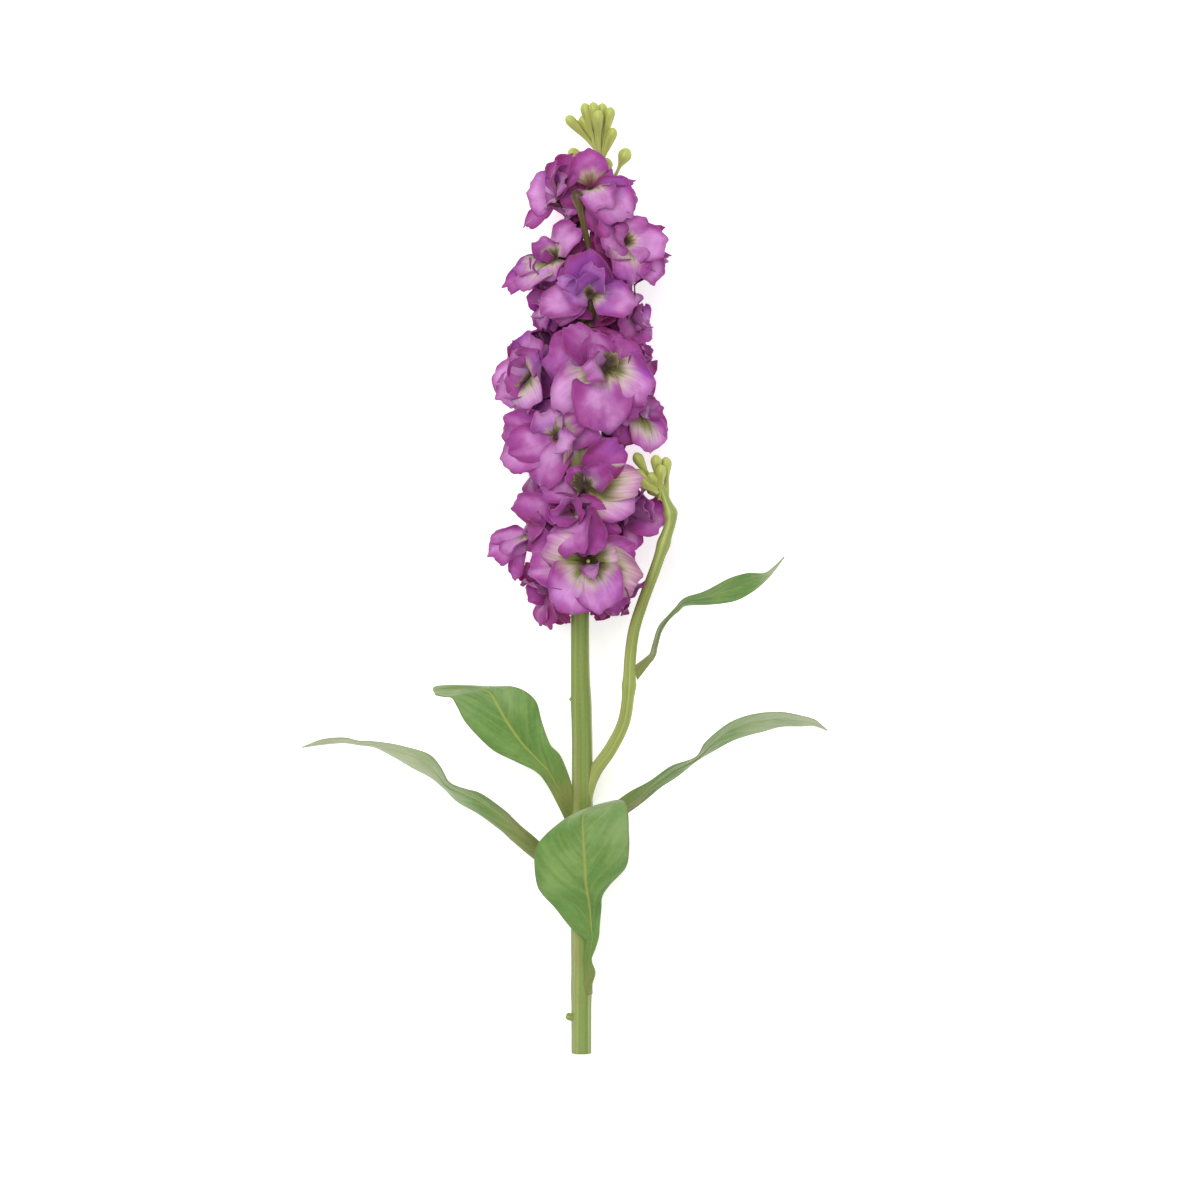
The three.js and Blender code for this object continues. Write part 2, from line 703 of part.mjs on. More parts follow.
function clearOf(solid) {
  const box = solid.boundingBox();
  const meets = (other) =>
    [0, 1, 2].every((k) => box.min[k] <= other.box.max[k] && other.box.min[k] <= box.max[k]);
  return placed.filter(meets).reduce((left, other) => left.subtract(other.larger), solid);
}

function keepClearOf(larger) {
  placed.push({ larger, box: larger.boundingBox() });
}

const tableSide = 600;
const tableDepth = 60;
const tableBox = new THREE.BoxGeometry(tableSide, tableSide, tableDepth).translate(0, 0, -tableDepth / 2);
const table = toSolid(tableBox);

function addPiece(name, solid, larger, colour, roughness) {
  const whole = mainBody(clearOf(solid).subtract(table));
  place(name, whole, colour, roughness);
  keepClearOf(larger);
}

const looseBudSolids = (extra = 0) =>
  looseBuds.map(({ y, tip }) => bud(stemAt(y), vec(...tip), looseBudRadius, looseBudStalk, extra));

addPiece(
  "stem",
  join([
    stemTube(),
    ...scars.map(leafScar),
    ...florets.map((floret) => calyxSolid(floret)),
    ...looseBudSolids(),
  ]),
  join([
    stemTube(seatGap),
    ...florets.map((floret) => calyxSolid(floret, seatGap)),
    ...looseBudSolids(seatGap),
  ]),
  colours.stem,
  0.6,
);

const topBudSolids = (extra = 0) =>
  topBuds.tips.map((tip) => bud(vec(...topBuds.root), vec(...tip), topBudRadius, topBudStalk, extra));
addPiece("top_buds", join(topBudSolids()), join(topBudSolids(seatGap)), colours.bud, 0.6);

addPiece("side_shoot", sideShoot(), sideShoot(seatGap), colours.bud, 0.6);

Object.entries(leaves).forEach(([name, leaf], i) => {
  addPiece(name, leafSolid(leaf, i), leafSolid(leaf, i), colours.leaf, 0.7);
});

const frontFirst = [...florets].sort((a, b) => b.rank - a.rank);
for (const floret of frontFirst) {
  const name = "floret_" + String(floret.seed).padStart(2, "0");
  addPiece(name, floretSolid(floret), floretSolid(floret, 2 * pressGap), colours.petal, 0.75);
}

export default group;
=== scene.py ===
import math

import bmesh
import bpy
import numpy as np
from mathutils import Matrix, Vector


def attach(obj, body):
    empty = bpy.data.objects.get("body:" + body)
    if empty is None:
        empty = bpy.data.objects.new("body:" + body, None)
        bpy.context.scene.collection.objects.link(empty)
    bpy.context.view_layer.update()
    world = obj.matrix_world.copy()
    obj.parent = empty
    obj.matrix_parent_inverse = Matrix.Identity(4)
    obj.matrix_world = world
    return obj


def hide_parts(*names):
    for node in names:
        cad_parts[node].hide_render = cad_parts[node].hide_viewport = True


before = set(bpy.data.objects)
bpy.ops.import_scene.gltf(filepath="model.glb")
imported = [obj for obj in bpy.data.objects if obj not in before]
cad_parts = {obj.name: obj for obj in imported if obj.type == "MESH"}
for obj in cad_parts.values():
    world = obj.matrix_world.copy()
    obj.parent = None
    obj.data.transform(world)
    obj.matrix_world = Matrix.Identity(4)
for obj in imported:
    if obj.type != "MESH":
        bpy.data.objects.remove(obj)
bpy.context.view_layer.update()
scene = bpy.context.scene
print("frame:", len(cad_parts), "nodes")

# A cut stem of double-flowered stock, lying on a pale table and seen from above.
# Shapes are worked out in millimetres; meshes are stored in metres.
metre = 0.001
degree = math.pi / 180

view = {
    "eye": (14.2, -8.8, 2027.0),  # mm, straight above the stem
    "lens": 150,
    "sensor": 36,
    "level": 27.0,  # mm above the table, the height that the picture's scale is for
    "picture": (564.5, 578.0, 0.4),  # the picture's point over x 0, y 0, and mm between its points
}


# Small sums

def smooth(t):  # 3t^2 - 2t^3 between 0 and 1
    t = np.clip(t, 0.0, 1.0)
    return t * t * (3 - 2 * t)


def mix(a, b, share):
    return a + (b - a) * share


def unit(a):
    return a / np.maximum(np.linalg.norm(a, axis=-1, keepdims=True), 1e-9)


def chance(seed, counter):  # a repeatable number from 0 to 1
    n = np.sin(np.asarray(seed) * 12.9898 + np.asarray(counter) * 78.233) * 43758.5453
    return n - np.floor(n)


def sway(seed, counter):  # the same, from -1 to 1
    return 2 * chance(seed, counter) - 1


def onPicture(u, v, z):  # the point at height z that shows at u, v in the picture
    u0, v0, step = view["picture"]
    x0, y0, high = view["eye"]
    nearer = (high - z) / (high - view["level"])
    x = x0 + ((u - u0) * step - x0) * nearer
    y = y0 + ((v0 - v) * step - y0) * nearer
    return np.stack(np.broadcast_arrays(x, y, z), axis=-1).astype(float)


def inPicture(points):  # where points show in the picture
    u0, v0, step = view["picture"]
    x0, y0, high = view["eye"]
    nearer = (high - points[..., 2]) / (high - view["level"])
    u = u0 + (x0 + (points[..., 0] - x0) / nearer) / step
    v = v0 - (y0 + (points[..., 1] - y0) / nearer) / step
    return u, v


def heldAt(value, limit, give):  # value, but past the limit it nears limit + give
    past = np.maximum(0.0, value - limit)
    return value - past + give * (1 - np.exp(-past / give))


# The smooth curve through a list of points: each stretch is the cubic that leaves and meets
# its points along the line between their neighbours.
def throughPoints(points, shares):
    points = np.asarray(points, float)
    last = len(points) - 1
    at = np.clip(np.asarray(shares, float) * last, 0, last - 1e-9)
    i = at.astype(int)
    t = (at - i)[..., None]
    a, b = points[np.maximum(i - 1, 0)], points[i]
    c, d = points[i + 1], points[np.minimum(i + 2, last)]
    slopeIn, slopeOut = (c - a) / 2, (d - b) / 2
    bend = 3 * (c - b) - 2 * slopeIn - slopeOut
    return b + t * (slopeIn + t * (bend + t * (2 * (b - c) + slopeIn + slopeOut)))


# Meshes

# Sheets of points (sheets, rows, columns, 3) become quads between neighbours. The map runs from
# 0 to 1 along the rows (u) and across the columns (v). marks are values for each point.
def addSheets(name, points, material, marks=None, wrap=False, close=False):
    sheets, rows, columns = points.shape[:3]
    index = np.arange(sheets * rows * columns).reshape(sheets, rows, columns)
    here, there = (index, np.roll(index, -1, axis=2)) if wrap else (index[:, :, :-1], index[:, :, 1:])
    quads = np.stack([here[:, :-1], here[:, 1:], there[:, 1:], there[:, :-1]], axis=-1)
    corners = points.reshape(-1, 3)[quads.reshape(-1, 4)]
    if wrap:  # outwards: a closed surface whose signed volume comes out negative is turned round
        volume = np.einsum("ij,ij->", corners[:, 0], np.cross(corners[:, 1], corners[:, 2]))
        volume += np.einsum("ij,ij->", corners[:, 0], np.cross(corners[:, 2], corners[:, 3]))
        order = [0, 1, 2, 3] if volume > 0 else [3, 2, 1, 0]
    else:
        order = [0, 1, 2, 3]
    across = here.shape[2]
    u = np.linspace(0, 1, rows)
    v = np.linspace(0, 1, across + 1)
    uv = np.zeros((rows - 1, across, 4, 2))
    uv[..., 0] = np.stack([u[:-1], u[1:], u[1:], u[:-1]], axis=-1)[:, None, :]
    uv[..., 1] = np.stack([v[:-1], v[:-1], v[1:], v[1:]], axis=-1)[None, :, :]
    uv = np.broadcast_to(uv, (sheets, *uv.shape))
    quads = quads[..., order].reshape(-1, 4)
    mesh = bpy.data.meshes.new(name)
    mesh.vertices.add(points.size // 3)
    mesh.vertices.foreach_set("co", (points * metre).astype(np.float32).ravel())
    mesh.loops.add(quads.size)
    mesh.loops.foreach_set("vertex_index", quads.astype(np.int32).ravel())
    mesh.polygons.add(len(quads))
    mesh.polygons.foreach_set("loop_start", np.arange(0, quads.size, 4, dtype=np.int32))
    mesh.polygons.foreach_set("use_smooth", np.ones(len(quads), dtype=bool))
    layer = mesh.uv_layers.new(name="along")
    layer.data.foreach_set("uv", uv[..., order, :].astype(np.float32).ravel())
    for mark, values in (marks or {}).items():
        attribute = mesh.attributes.new(mark, "FLOAT", "POINT")
        spread = np.broadcast_to(values, (sheets, rows, columns))
        attribute.data.foreach_set("value", spread.astype(np.float32).ravel())
    mesh.update(calc_edges=True)
    if close:  # rings that were drawn together into a point
        work = bmesh.new()
        work.from_mesh(mesh)
        bmesh.ops.remove_doubles(work, verts=work.verts, dist=1e-7)
        work.to_mesh(mesh)
        work.free()
    mesh.materials.append(material)
    piece = bpy.data.objects.new(name, mesh)
    scene.collection.objects.link(piece)
    return piece


# Round tubes along centre lines (tubes, rows, 3). Each ring's point at angle w is
# centre + radius(w) (side sin w + top cos w), side being across the line and the up direction.
# The first and last rings are drawn together into the line's ends.
def tubeRings(centres, radii, columns, up=(0, 0, 1)):
    centres = np.asarray(centres, float)
    up = np.broadcast_to(np.asarray(up, float), (len(centres), 3))[:, None, :]
    way = unit(np.gradient(centres, axis=1))
    side = unit(np.cross(up, way))
    top = np.cross(way, side)
    angle = 2 * math.pi * np.arange(columns) / columns
    ring = side[:, :, None] * np.sin(angle)[:, None] + top[:, :, None] * np.cos(angle)[:, None]
    radii = np.asarray(radii, float)
    radii = radii[..., None] if radii.ndim < 3 else radii
    rings = centres[:, :, None] + ring * radii[..., None]
    ends = [np.repeat(centres[:, i][:, None, None], columns, axis=2) for i in (0, -1)]
    return np.concatenate([ends[0], rings, ends[1]], axis=1)


def thicken(piece, thickness, offset):  # the wall's other side has the second material
    wall = piece.modifiers.new("wall", "SOLIDIFY")
    wall.thickness = thickness * metre
    wall.offset = offset
    wall.use_even_offset = False
    wall.material_offset = 1


def finishPiece(piece, slotName, *nodes):
    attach(piece, "root")
    if nodes:
        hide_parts(*nodes)
    return piece


# Shader nodes

def srgb(red, green, blue):  # a colour as seen on a screen, made linear
    shown = np.array([red, green, blue])
    return (*np.where(shown <= 0.04045, shown / 12.92, ((shown + 0.055) / 1.055) ** 2.4), 1.0)


def plug(tree, node, inputs):  # links sockets, and sets plain values
    for key, value in inputs.items():
        if isinstance(value, bpy.types.NodeSocket):
            tree.links.new(value, node.inputs[key])
        else:
            node.inputs[key].default_value = value


def addNode(tree, kind, inputs=None, **settings):
    made = tree.nodes.new("ShaderNode" + kind)
    for key, value in settings.items():
        setattr(made, key, value)
    plug(tree, made, inputs or {})
    return made


def sums(tree, operation, *values):
    return addNode(tree, "Math", dict(enumerate(values)), operation=operation).outputs[0]


def ramped(tree, value, low, high, start=0.0, end=1.0):  # an eased step from low to high
    inputs = {"Value": value, "From Min": low, "From Max": high, "To Min": start, "To Max": end}
    return addNode(tree, "MapRange", inputs, interpolation_type="SMOOTHSTEP").outputs["Result"]


def mixed(tree, share, a, b):
    return addNode(tree, "Mix", {0: share, 6: a, 7: b}, data_type="RGBA").outputs[2]


def newGroup(name, inputs, outputs):
    group = bpy.data.node_groups.new(name, "ShaderNodeTree")
    for label, kind, value in inputs:
        socket = group.interface.new_socket(label, in_out="INPUT", socket_type="NodeSocket" + kind)
        if value is not None:
            socket.default_value = value
    for label, kind in outputs:
        group.interface.new_socket(label, in_out="OUTPUT", socket_type="NodeSocket" + kind)
    entry = group.nodes.new("NodeGroupInput").outputs
    leave = group.nodes.new("NodeGroupOutput").inputs
    return group, entry, leave


def useGroup(tree, group, inputs):
    made = tree.nodes.new("ShaderNodeGroup")
    made.node_tree = group
    plug(tree, made, inputs)
    return made.outputs


# Soft cloudy variation in the object's own space.
def softMottleGroup():
    group, entry, leave = newGroup(
        "softMottle",
        [("Vector", "Vector", None), ("Scale", "Float", 60.0), ("Contrast", "Float", 1.0)],
        [("Mask", "Float")],
    )
    cloud = addNode(group, "TexNoise", {"Vector": entry["Vector"], "Scale": entry["Scale"], "Detail": 3.0})
    spread = sums(group, "MULTIPLY", sums(group, "SUBTRACT", cloud.outputs[0], 0.5), entry["Contrast"])
    group.links.new(sums(group, "ADD", spread, 0.5), leave["Mask"])
    return group


# Lines that run along a piece: noise pulled out along u, with Count lines across v.
def streaksGroup():
    group, entry, leave = newGroup(
        "streaks",
        [("Along", "Float", 0.0), ("Across", "Float", 0.0), ("Count", "Float", 12.0),
         ("Length", "Float", 1.5), ("Shift", "Float", 0.0)],
        [("Mask", "Float")],
    )
    place = addNode(group, "CombineXYZ", {
        "X": sums(group, "MULTIPLY", entry["Along"], entry["Length"]),
        "Y": sums(group, "MULTIPLY", entry["Across"], entry["Count"]),
        "Z": entry["Shift"],
    })
    noise = addNode(group, "TexNoise", {"Vector": place.outputs[0], "Scale": 1.0, "Detail": 2.0})
    group.links.new(ramped(group, noise.outputs[0], 0.3, 0.7), leave["Mask"])
    return group


# A leaf's veins: the midrib along v 0.5, and side veins that leave it forwards.
def leafVeinsGroup():
    group, entry, leave = newGroup(
        "leafVeins",
        [("Along", "Float", 0.0), ("Across", "Float", 0.0), ("Count", "Float", 9.0), ("Slant", "Float", 1.4),
         ("Width", "Float", 0.05)],
        [("Midrib", "Float"), ("Side veins", "Float")],
    )
    off = sums(group, "ABSOLUTE", sums(group, "SUBTRACT", entry["Across"], 0.5))
    ribWidth = sums(group, "MULTIPLY", entry["Width"], sums(group, "SUBTRACT", 1.15, entry["Along"]))
    midrib = ramped(group, off, ribWidth, 0.0)
    bent = sums(group, "POWER", off, 1.3)
    run = sums(group, "SUBTRACT", sums(group, "MULTIPLY", entry["Along"], entry["Count"]),
               sums(group, "MULTIPLY", bent, sums(group, "MULTIPLY", entry["Slant"], 3.0)))
    turn = sums(group, "PINGPONG", run, 0.5)
    fade = ramped(group, off, 0.46, 0.2)
    side = sums(group, "MULTIPLY", ramped(group, turn, 0.13, 0.0), fade)
    group.links.new(midrib, leave["Midrib"])
    group.links.new(side, leave["Side veins"])
    return group


softMottle = softMottleGroup()
streaks = streaksGroup()
leafVeins = leafVeinsGroup()


def patches(tree, place, scale, contrast):
    return useGroup(tree, softMottle, {"Vector": place, "Scale": scale, "Contrast": contrast})["Mask"]


def lines(tree, along, across, count, length, shift):
    inputs = {"Along": along, "Across": across, "Count": count, "Length": length, "Shift": shift}
    return useGroup(tree, streaks, inputs)["Mask"]


def newMaterial(name, roughness, subsurface, radius, sheen=0.0, specular=0.35):
    material = bpy.data.materials.new(name)
    material.use_nodes = True
    tree = material.node_tree
    shader = tree.nodes["Principled BSDF"]
    shader.inputs["Roughness"].default_value = roughness
    shader.inputs["Subsurface Weight"].default_value = subsurface
    shader.inputs["Subsurface Radius"].default_value = radius
    shader.inputs["Subsurface Scale"].default_value = metre
    shader.inputs["Sheen Weight"].default_value = sheen
    shader.inputs["Specular IOR Level"].default_value = specular
    coordinates = addNode(tree, "TexCoord").outputs["Object"]
    alongMap = addNode(tree, "SeparateXYZ", {0: addNode(tree, "UVMap", uv_map="along").outputs[0]}).outputs
    return material, tree, shader, coordinates, alongMap


def bumped(tree, shader, height, strength, distance):
    inputs = {"Strength": strength, "Distance": distance * metre, "Height": height}
    tree.links.new(addNode(tree, "Bump", inputs).outputs[0], shader.inputs["Normal"])


# Petals: green in the throat, then cream, then purple with paler lilac patches and fine veins. Painted light
# and shade lie on top: lilac highlights and magenta shade by each petal's tone, and painted shade at the
# rims, the claws, the throats' hollows and deep in the head.
petalColours = {
    # deep: dark olive, the painted shade of a throat's hollow
    "deep": srgb(0.29, 0.27, 0.07),
    "green": srgb(0.50, 0.54, 0.22),
    "cream": srgb(0.84, 0.79, 0.70),
    "purple": srgb(0.64, 0.27, 0.59),
    # lilac: paler patches, and the painted highlight where a petal is lit
    "lilac": srgb(0.86, 0.62, 0.85),
    # magenta: the veins' colour, and the painted shade where a petal is unlit
    "magenta": srgb(0.55, 0.14, 0.38),
    # edge: painted shade at the rims, and a touch of darker purple along the veins
    "edge": srgb(0.50, 0.14, 0.44),
    # shade: painted shade at the claws and deep in the head
    "shade": srgb(0.54, 0.11, 0.38),
    "under": srgb(0.80, 0.64, 0.76),
    "violet": srgb(0.56, 0.30, 0.72),
}


def petalMaterial(name, outside):
    c = petalColours
    material, tree, shader, place, along = newMaterial(name, 0.55, 0.25, (1.8, 0.7, 1.6), 0.15, 0.3)
    toneAndShading = addNode(tree, "Attribute", attribute_name="toneAndShading").outputs["Fac"]
    reach = addNode(tree, "Attribute", attribute_name="reach").outputs["Fac"]
    depthShade = addNode(tree, "Attribute", attribute_name="depthShade").outputs["Fac"]
    cloud = patches(tree, place, 90.0, 1.8)
    drift = patches(tree, place, 38.0, 2.4)
    veins = lines(tree, along[0], along[1], 26.0, 1.2, toneAndShading)
    broad = lines(tree, along[0], along[1], 6.0, 1.0, toneAndShading)
    # light: pale patches plus each petal's tone, which paints its light and shade; painted shade also darkens
    # it towards the rim and to the sides
    light = sums(tree, "ADD", sums(tree, "MULTIPLY", cloud, 0.6), sums(tree, "MULTIPLY", toneAndShading, 0.85))
    light = sums(tree, "SUBTRACT", sums(tree, "ADD", light, 0.1), sums(tree, "MULTIPLY", along[0], 0.3))
    side = sums(tree, "ABSOLUTE", sums(tree, "SUBTRACT", along[1], 0.5))
    light = sums(tree, "SUBTRACT", light, ramped(tree, side, 0.2, 0.5, -0.06, 0.2))
    # painted highlight: where light is high the petal turns lilac; painted shade: where it is low, magenta
    petal = mixed(tree, ramped(tree, light, 0.45, 1.05), c["purple"], c["lilac"])
    petal = mixed(tree, ramped(tree, light, 0.5, 0.05, 0.0, 0.95), petal, c["magenta"])
    petal = mixed(tree, ramped(tree, drift, 0.5, 0.95, 0.0, 0.5), petal, c["violet"])
    # painted shade along the rim
    rim = ramped(tree, along[0], 0.8, 1.0, 0.0, 0.45)
    petal = mixed(tree, rim, petal, c["edge"])
    # w counts how far up the petal the throat's colours reach
    wander = sums(tree, "MULTIPLY", sums(tree, "SUBTRACT", broad, 0.5), 0.3)
    w = sums(tree, "DIVIDE", sums(tree, "ADD", along[0], sums(tree, "MULTIPLY", wander, reach)), reach)
    petal = mixed(tree, ramped(tree, w, 1.6, 0.85, 0.0, 0.8), petal, c["cream"])
    petal = mixed(tree, ramped(tree, w, 1.1, 0.6, 0.0, 0.95), petal, c["green"])
    streaked = sums(tree, "MULTIPLY", ramped(tree, veins, 0.35, 0.8), ramped(tree, w, 2.2, 0.9, 0.0, 0.2))
    petal = mixed(tree, streaked, petal, c["magenta"])
    # painted shade in the throat's hollow, at the foot of its green
    petal = mixed(tree, ramped(tree, w, 0.6, 0.2), petal, c["deep"])
    # painted shade at the claws: the hollow's olive where the throat's green reaches, plain shade elsewhere
    base = mixed(tree, ramped(tree, reach, 0.08, 0.2), c["shade"], c["deep"])
    petal = mixed(tree, sums(tree, "MULTIPLY", veins, 0.1), petal, c["edge"])
    petal = mixed(tree, ramped(tree, along[0], 0.2, 0.02, 0.0, 0.75), petal, base)
    # painted shade deep in the head
    petal = mixed(tree, sums(tree, "MULTIPLY", depthShade, 0.75), petal, c["shade"])
    if outside:
        petal = mixed(tree, 0.2, petal, c["under"])
    tree.links.new(petal, shader.inputs["Base Color"])
    crumple = patches(tree, place, 160.0, 3.0)
    bumped(tree, shader, sums(tree, "ADD", veins, sums(tree, "MULTIPLY", crumple, 4.0)), 0.22, 0.25)
    return material


petalInside = petalMaterial("petal_inside", False)
petalOutside = petalMaterial("petal_outside", True)


# Stems and buds: green with long paler and browner lines, and soft patches.
def stemMaterial(name, green, pale, brown, count, tip=None):
    deep = (*(0.72 * c for c in green[:3]), 1.0)
    material, tree, shader, place, along = newMaterial(name, 0.5, 0.15, (0.8, 1.2, 0.4), 0.1, 0.4)
    cloud = patches(tree, place, 70.0, 1.8)
    long = lines(tree, along[0], along[1], count, 2.0, 0.3)
    grain = patches(tree, place, 1400.0, 1.0)
    skin = mixed(tree, ramped(tree, long, 0.45, 1.0, 0.0, 0.7), green, pale)
    dark = lines(tree, along[0], along[1], 1.6 * count, 1.5, 4.7)
    skin = mixed(tree, ramped(tree, dark, 0.6, 1.0, 0.0, 0.55), skin, brown)
    skin = mixed(tree, ramped(tree, dark, 0.4, 0.0, 0.0, 0.6), skin, deep)
    skin = mixed(tree, ramped(tree, cloud, 0.55, 1.0, 0.0, 0.5), skin, brown)
    skin = mixed(tree, ramped(tree, grain, 0.3, 0.7, 0.0, 0.12), skin, pale)
    if tip:
        skin = mixed(tree, ramped(tree, along[0], 0.55, 0.95), skin, tip)
    tree.links.new(skin, shader.inputs["Base Color"])
    height = sums(tree, "ADD", long, sums(tree, "MULTIPLY", grain, 0.3))
    bumped(tree, shader, height, 0.35, 0.3)
    return material


stemGreen = stemMaterial("stem_green", srgb(0.50, 0.59, 0.26), srgb(0.68, 0.72, 0.44),
                         srgb(0.56, 0.50, 0.34), 9.0)
shootGreen = stemMaterial("shoot_green", srgb(0.60, 0.66, 0.32), srgb(0.74, 0.77, 0.46),
                          srgb(0.58, 0.54, 0.34), 7.0)
budGreen = stemMaterial("bud_green", srgb(0.68, 0.71, 0.34), srgb(0.80, 0.82, 0.50),
                        srgb(0.61, 0.59, 0.29), 8.0, srgb(0.75, 0.78, 0.41))
# calyces and old buds deep in the head: dark olive-brown with darker mouths, partly their own colour and
# partly painted shade
calyxGreen = stemMaterial("calyx_green", srgb(0.38, 0.33, 0.15), srgb(0.54, 0.47, 0.27),
                          srgb(0.36, 0.23, 0.15), 8.0, srgb(0.25, 0.17, 0.10))


# Leaves: matt green with paler veins, yellower and redder towards the stalk, with light and shade painted
# across them by their tint.
def leafMaterial(name, green, pale, vein, stalk, veinShare):
    material, tree, shader, place, along = newMaterial(name, 0.6, 0.12, (0.6, 1.2, 0.4), 0.15, 0.3)
    cloud = patches(tree, place, 55.0, 1.8)
    fine = patches(tree, place, 700.0, 1.2)
    veins = useGroup(tree, leafVeins, {"Along": along[0], "Across": along[1], "Count": 8.0, "Slant": 1.5,
                                       "Width": 0.055})
    off = sums(tree, "ABSOLUTE", sums(tree, "SUBTRACT", along[1], 0.5))
    slanted = sums(tree, "SUBTRACT", along[0], sums(tree, "MULTIPLY", off, 0.5))
    brush = lines(tree, along[1], slanted, 26.0, 3.0, 2.0)
    blade = mixed(tree, ramped(tree, cloud, 0.35, 0.95, 0.0, 0.65), green, pale)
    blade = mixed(tree, ramped(tree, brush, 0.55, 1.0, 0.0, 0.25), blade, pale)
    blade = mixed(tree, ramped(tree, brush, 0.45, 0.0, 0.0, 0.35), blade, srgb(0.30, 0.46, 0.18))
    blade = mixed(tree, ramped(tree, fine, 0.3, 0.8, 0.0, 0.15), blade, vein)
    # the tint paints light and shade as well as the leaf's own paler and darker parts: pale where a band
    # catches the light, dark where a fold is in shade
    tintAndShading = addNode(tree, "Attribute", attribute_name="tintAndShading").outputs["Fac"]
    tintAndShading = sums(tree, "ADD", tintAndShading, sums(tree, "MULTIPLY", sums(tree, "SUBTRACT", cloud, 0.5), 0.3))
    blade = mixed(tree, ramped(tree, tintAndShading, 0.05, 1.0, 0.0, 0.9), blade, srgb(0.73, 0.76, 0.62))
    blade = mixed(tree, ramped(tree, tintAndShading, -0.05, -1.0, 0.0, 0.9), blade, srgb(0.30, 0.42, 0.17))
    blade = mixed(tree, sums(tree, "MULTIPLY", veins["Side veins"], 0.18 * veinShare), blade, vein)
    blade = mixed(tree, sums(tree, "MULTIPLY", veins["Midrib"], 0.85 * veinShare), blade, vein)
    towardsStalk = ramped(tree, along[0], 0.34, 0.05, 0.0, 0.75)
    patchy = sums(tree, "MULTIPLY", towardsStalk, ramped(tree, cloud, 0.2, 0.7, 0.55, 1.0))
    blade = mixed(tree, patchy, blade, stalk)
    edge = ramped(tree, off, 0.47, 0.5, 0.0, 0.6)
    blade = mixed(tree, edge, blade, srgb(0.52, 0.52, 0.36))
    tree.links.new(blade, shader.inputs["Base Color"])
    relief = sums(tree, "SUBTRACT", sums(tree, "MULTIPLY", fine, 0.3),
                  sums(tree, "ADD", veins["Side veins"], veins["Midrib"]))
    bumped(tree, shader, relief, 0.5, 0.35)
    return material


leafTop = leafMaterial("leaf_top", srgb(0.38, 0.55, 0.26), srgb(0.55, 0.68, 0.38), srgb(0.66, 0.68, 0.34),
                       srgb(0.54, 0.52, 0.28), 1.0)
leafUnder = leafMaterial("leaf_under", srgb(0.50, 0.57, 0.38), srgb(0.62, 0.67, 0.50), srgb(0.66, 0.68, 0.44),
                         srgb(0.58, 0.53, 0.40), 0.8)
print("materials:", len(bpy.data.materials))


# The main stem

stem = {
    "length": (-192.3, 167.0),
    "radius": (4.13, 1.3),
    "axisHeight": 26.5,
    "floor": 0.02,
    "rows": 420,
    "columns": 48,
    "ribs": 6,
    "ribDepth": 0.035,
    "nodes": ((-166, 0.06), (-122, 0.10), (-98, 0.12), (-50, 0.04)),  # y, share by which it swells
}


def stemAt(y):
    y = np.asarray(y, float)
    x = 6.2 + 7.4 * smooth((y + 20) / 190) + 0.8 * smooth((-30 - y) / 40) \
        - 0.3 * smooth((-128 - y) / 12)
    low = 1 - smooth((y + 190) / 190)
    return np.stack([x, y, mix(stem["axisHeight"], stem["radius"][0] * 0.97, low)], axis=-1)


def stemRadius(y):
    y = np.asarray(y)
    slim = 0.4 * smooth((y + 60) / 35) + 0.25 * smooth((-140 - y) / 30)
    return mix(*stem["radius"], smooth(y / stem["length"][1])) - slim * smooth((40 - y) / 40)


# radius(y, w) = radius(y) (1 + ribs cos(6w + a slow twist)) with a swelling at each node
def makeStem():
    s = stem
    y = np.linspace(*s["length"], s["rows"])
    y = np.concatenate([[y[0], y[0] + 0.12], y[1:]])
    w = 2 * math.pi * np.arange(s["columns"]) / s["columns"]
    radii = stemRadius(y)
    for at, share in s["nodes"]:
        radii = radii * (1 + share * np.exp(-(((y - at) / 5.0) ** 2)))
    ribs = 1 + s["ribDepth"] * np.cos(s["ribs"] * w[None, :] + 0.018 * y[:, None])
    ribs = ribs + 0.015 * np.cos(3 * w[None, :] + 0.03 * y[:, None] + 1)
    radii = radii[:, None] * ribs
    radii[0] *= 0.93  # the cut end's edge is a little rounded
    rings = tubeRings(stemAt(y)[None], radii[None], s["columns"])
    rings[..., 2] = np.maximum(rings[..., 2], s["floor"])
    return addSheets("stem_main", rings, stemGreen, wrap=True, close=True)


finishPiece(makeStem(), "stem_green", "stem")


# Scars left by fallen leaves: short stubs with a rounded, hollowed end, each by its y, azimuth,
# reach and radius.
scars = {"places": ((-50, -80, 4.7, 1.1), (-179, -85, 6.2, 2.0), (-128, 130, 5.4, 1.5))}


def makeScars():
    centres, radii = [], []
    shares = np.linspace(0, 1, 12)
    profile = np.interp(shares, [0, 0.6, 0.85, 0.94, 1.0, 1.0], [0.96, 0.72, 0.76, 0.68, 0.48, 0.48])
    for y, azimuth, reach, radius in scars["places"]:
        out = np.array([math.sin(azimuth * degree), 0.35, math.cos(azimuth * degree)])
        centres.append(stemAt(y) + out * reach * shares[:, None])
        radii.append(profile * radius)
    rings = tubeRings(np.array(centres), np.array(radii), 16)
    rings[:, -1] -= 0.25 * unit(rings[:, -1] - rings[:, 1].mean(axis=1, keepdims=True))
    return addSheets("leaf_scars", rings, stemGreen, wrap=True, close=True)


finishPiece(makeScars(), "stem_green", "stem")
print("stem done")


# Florets

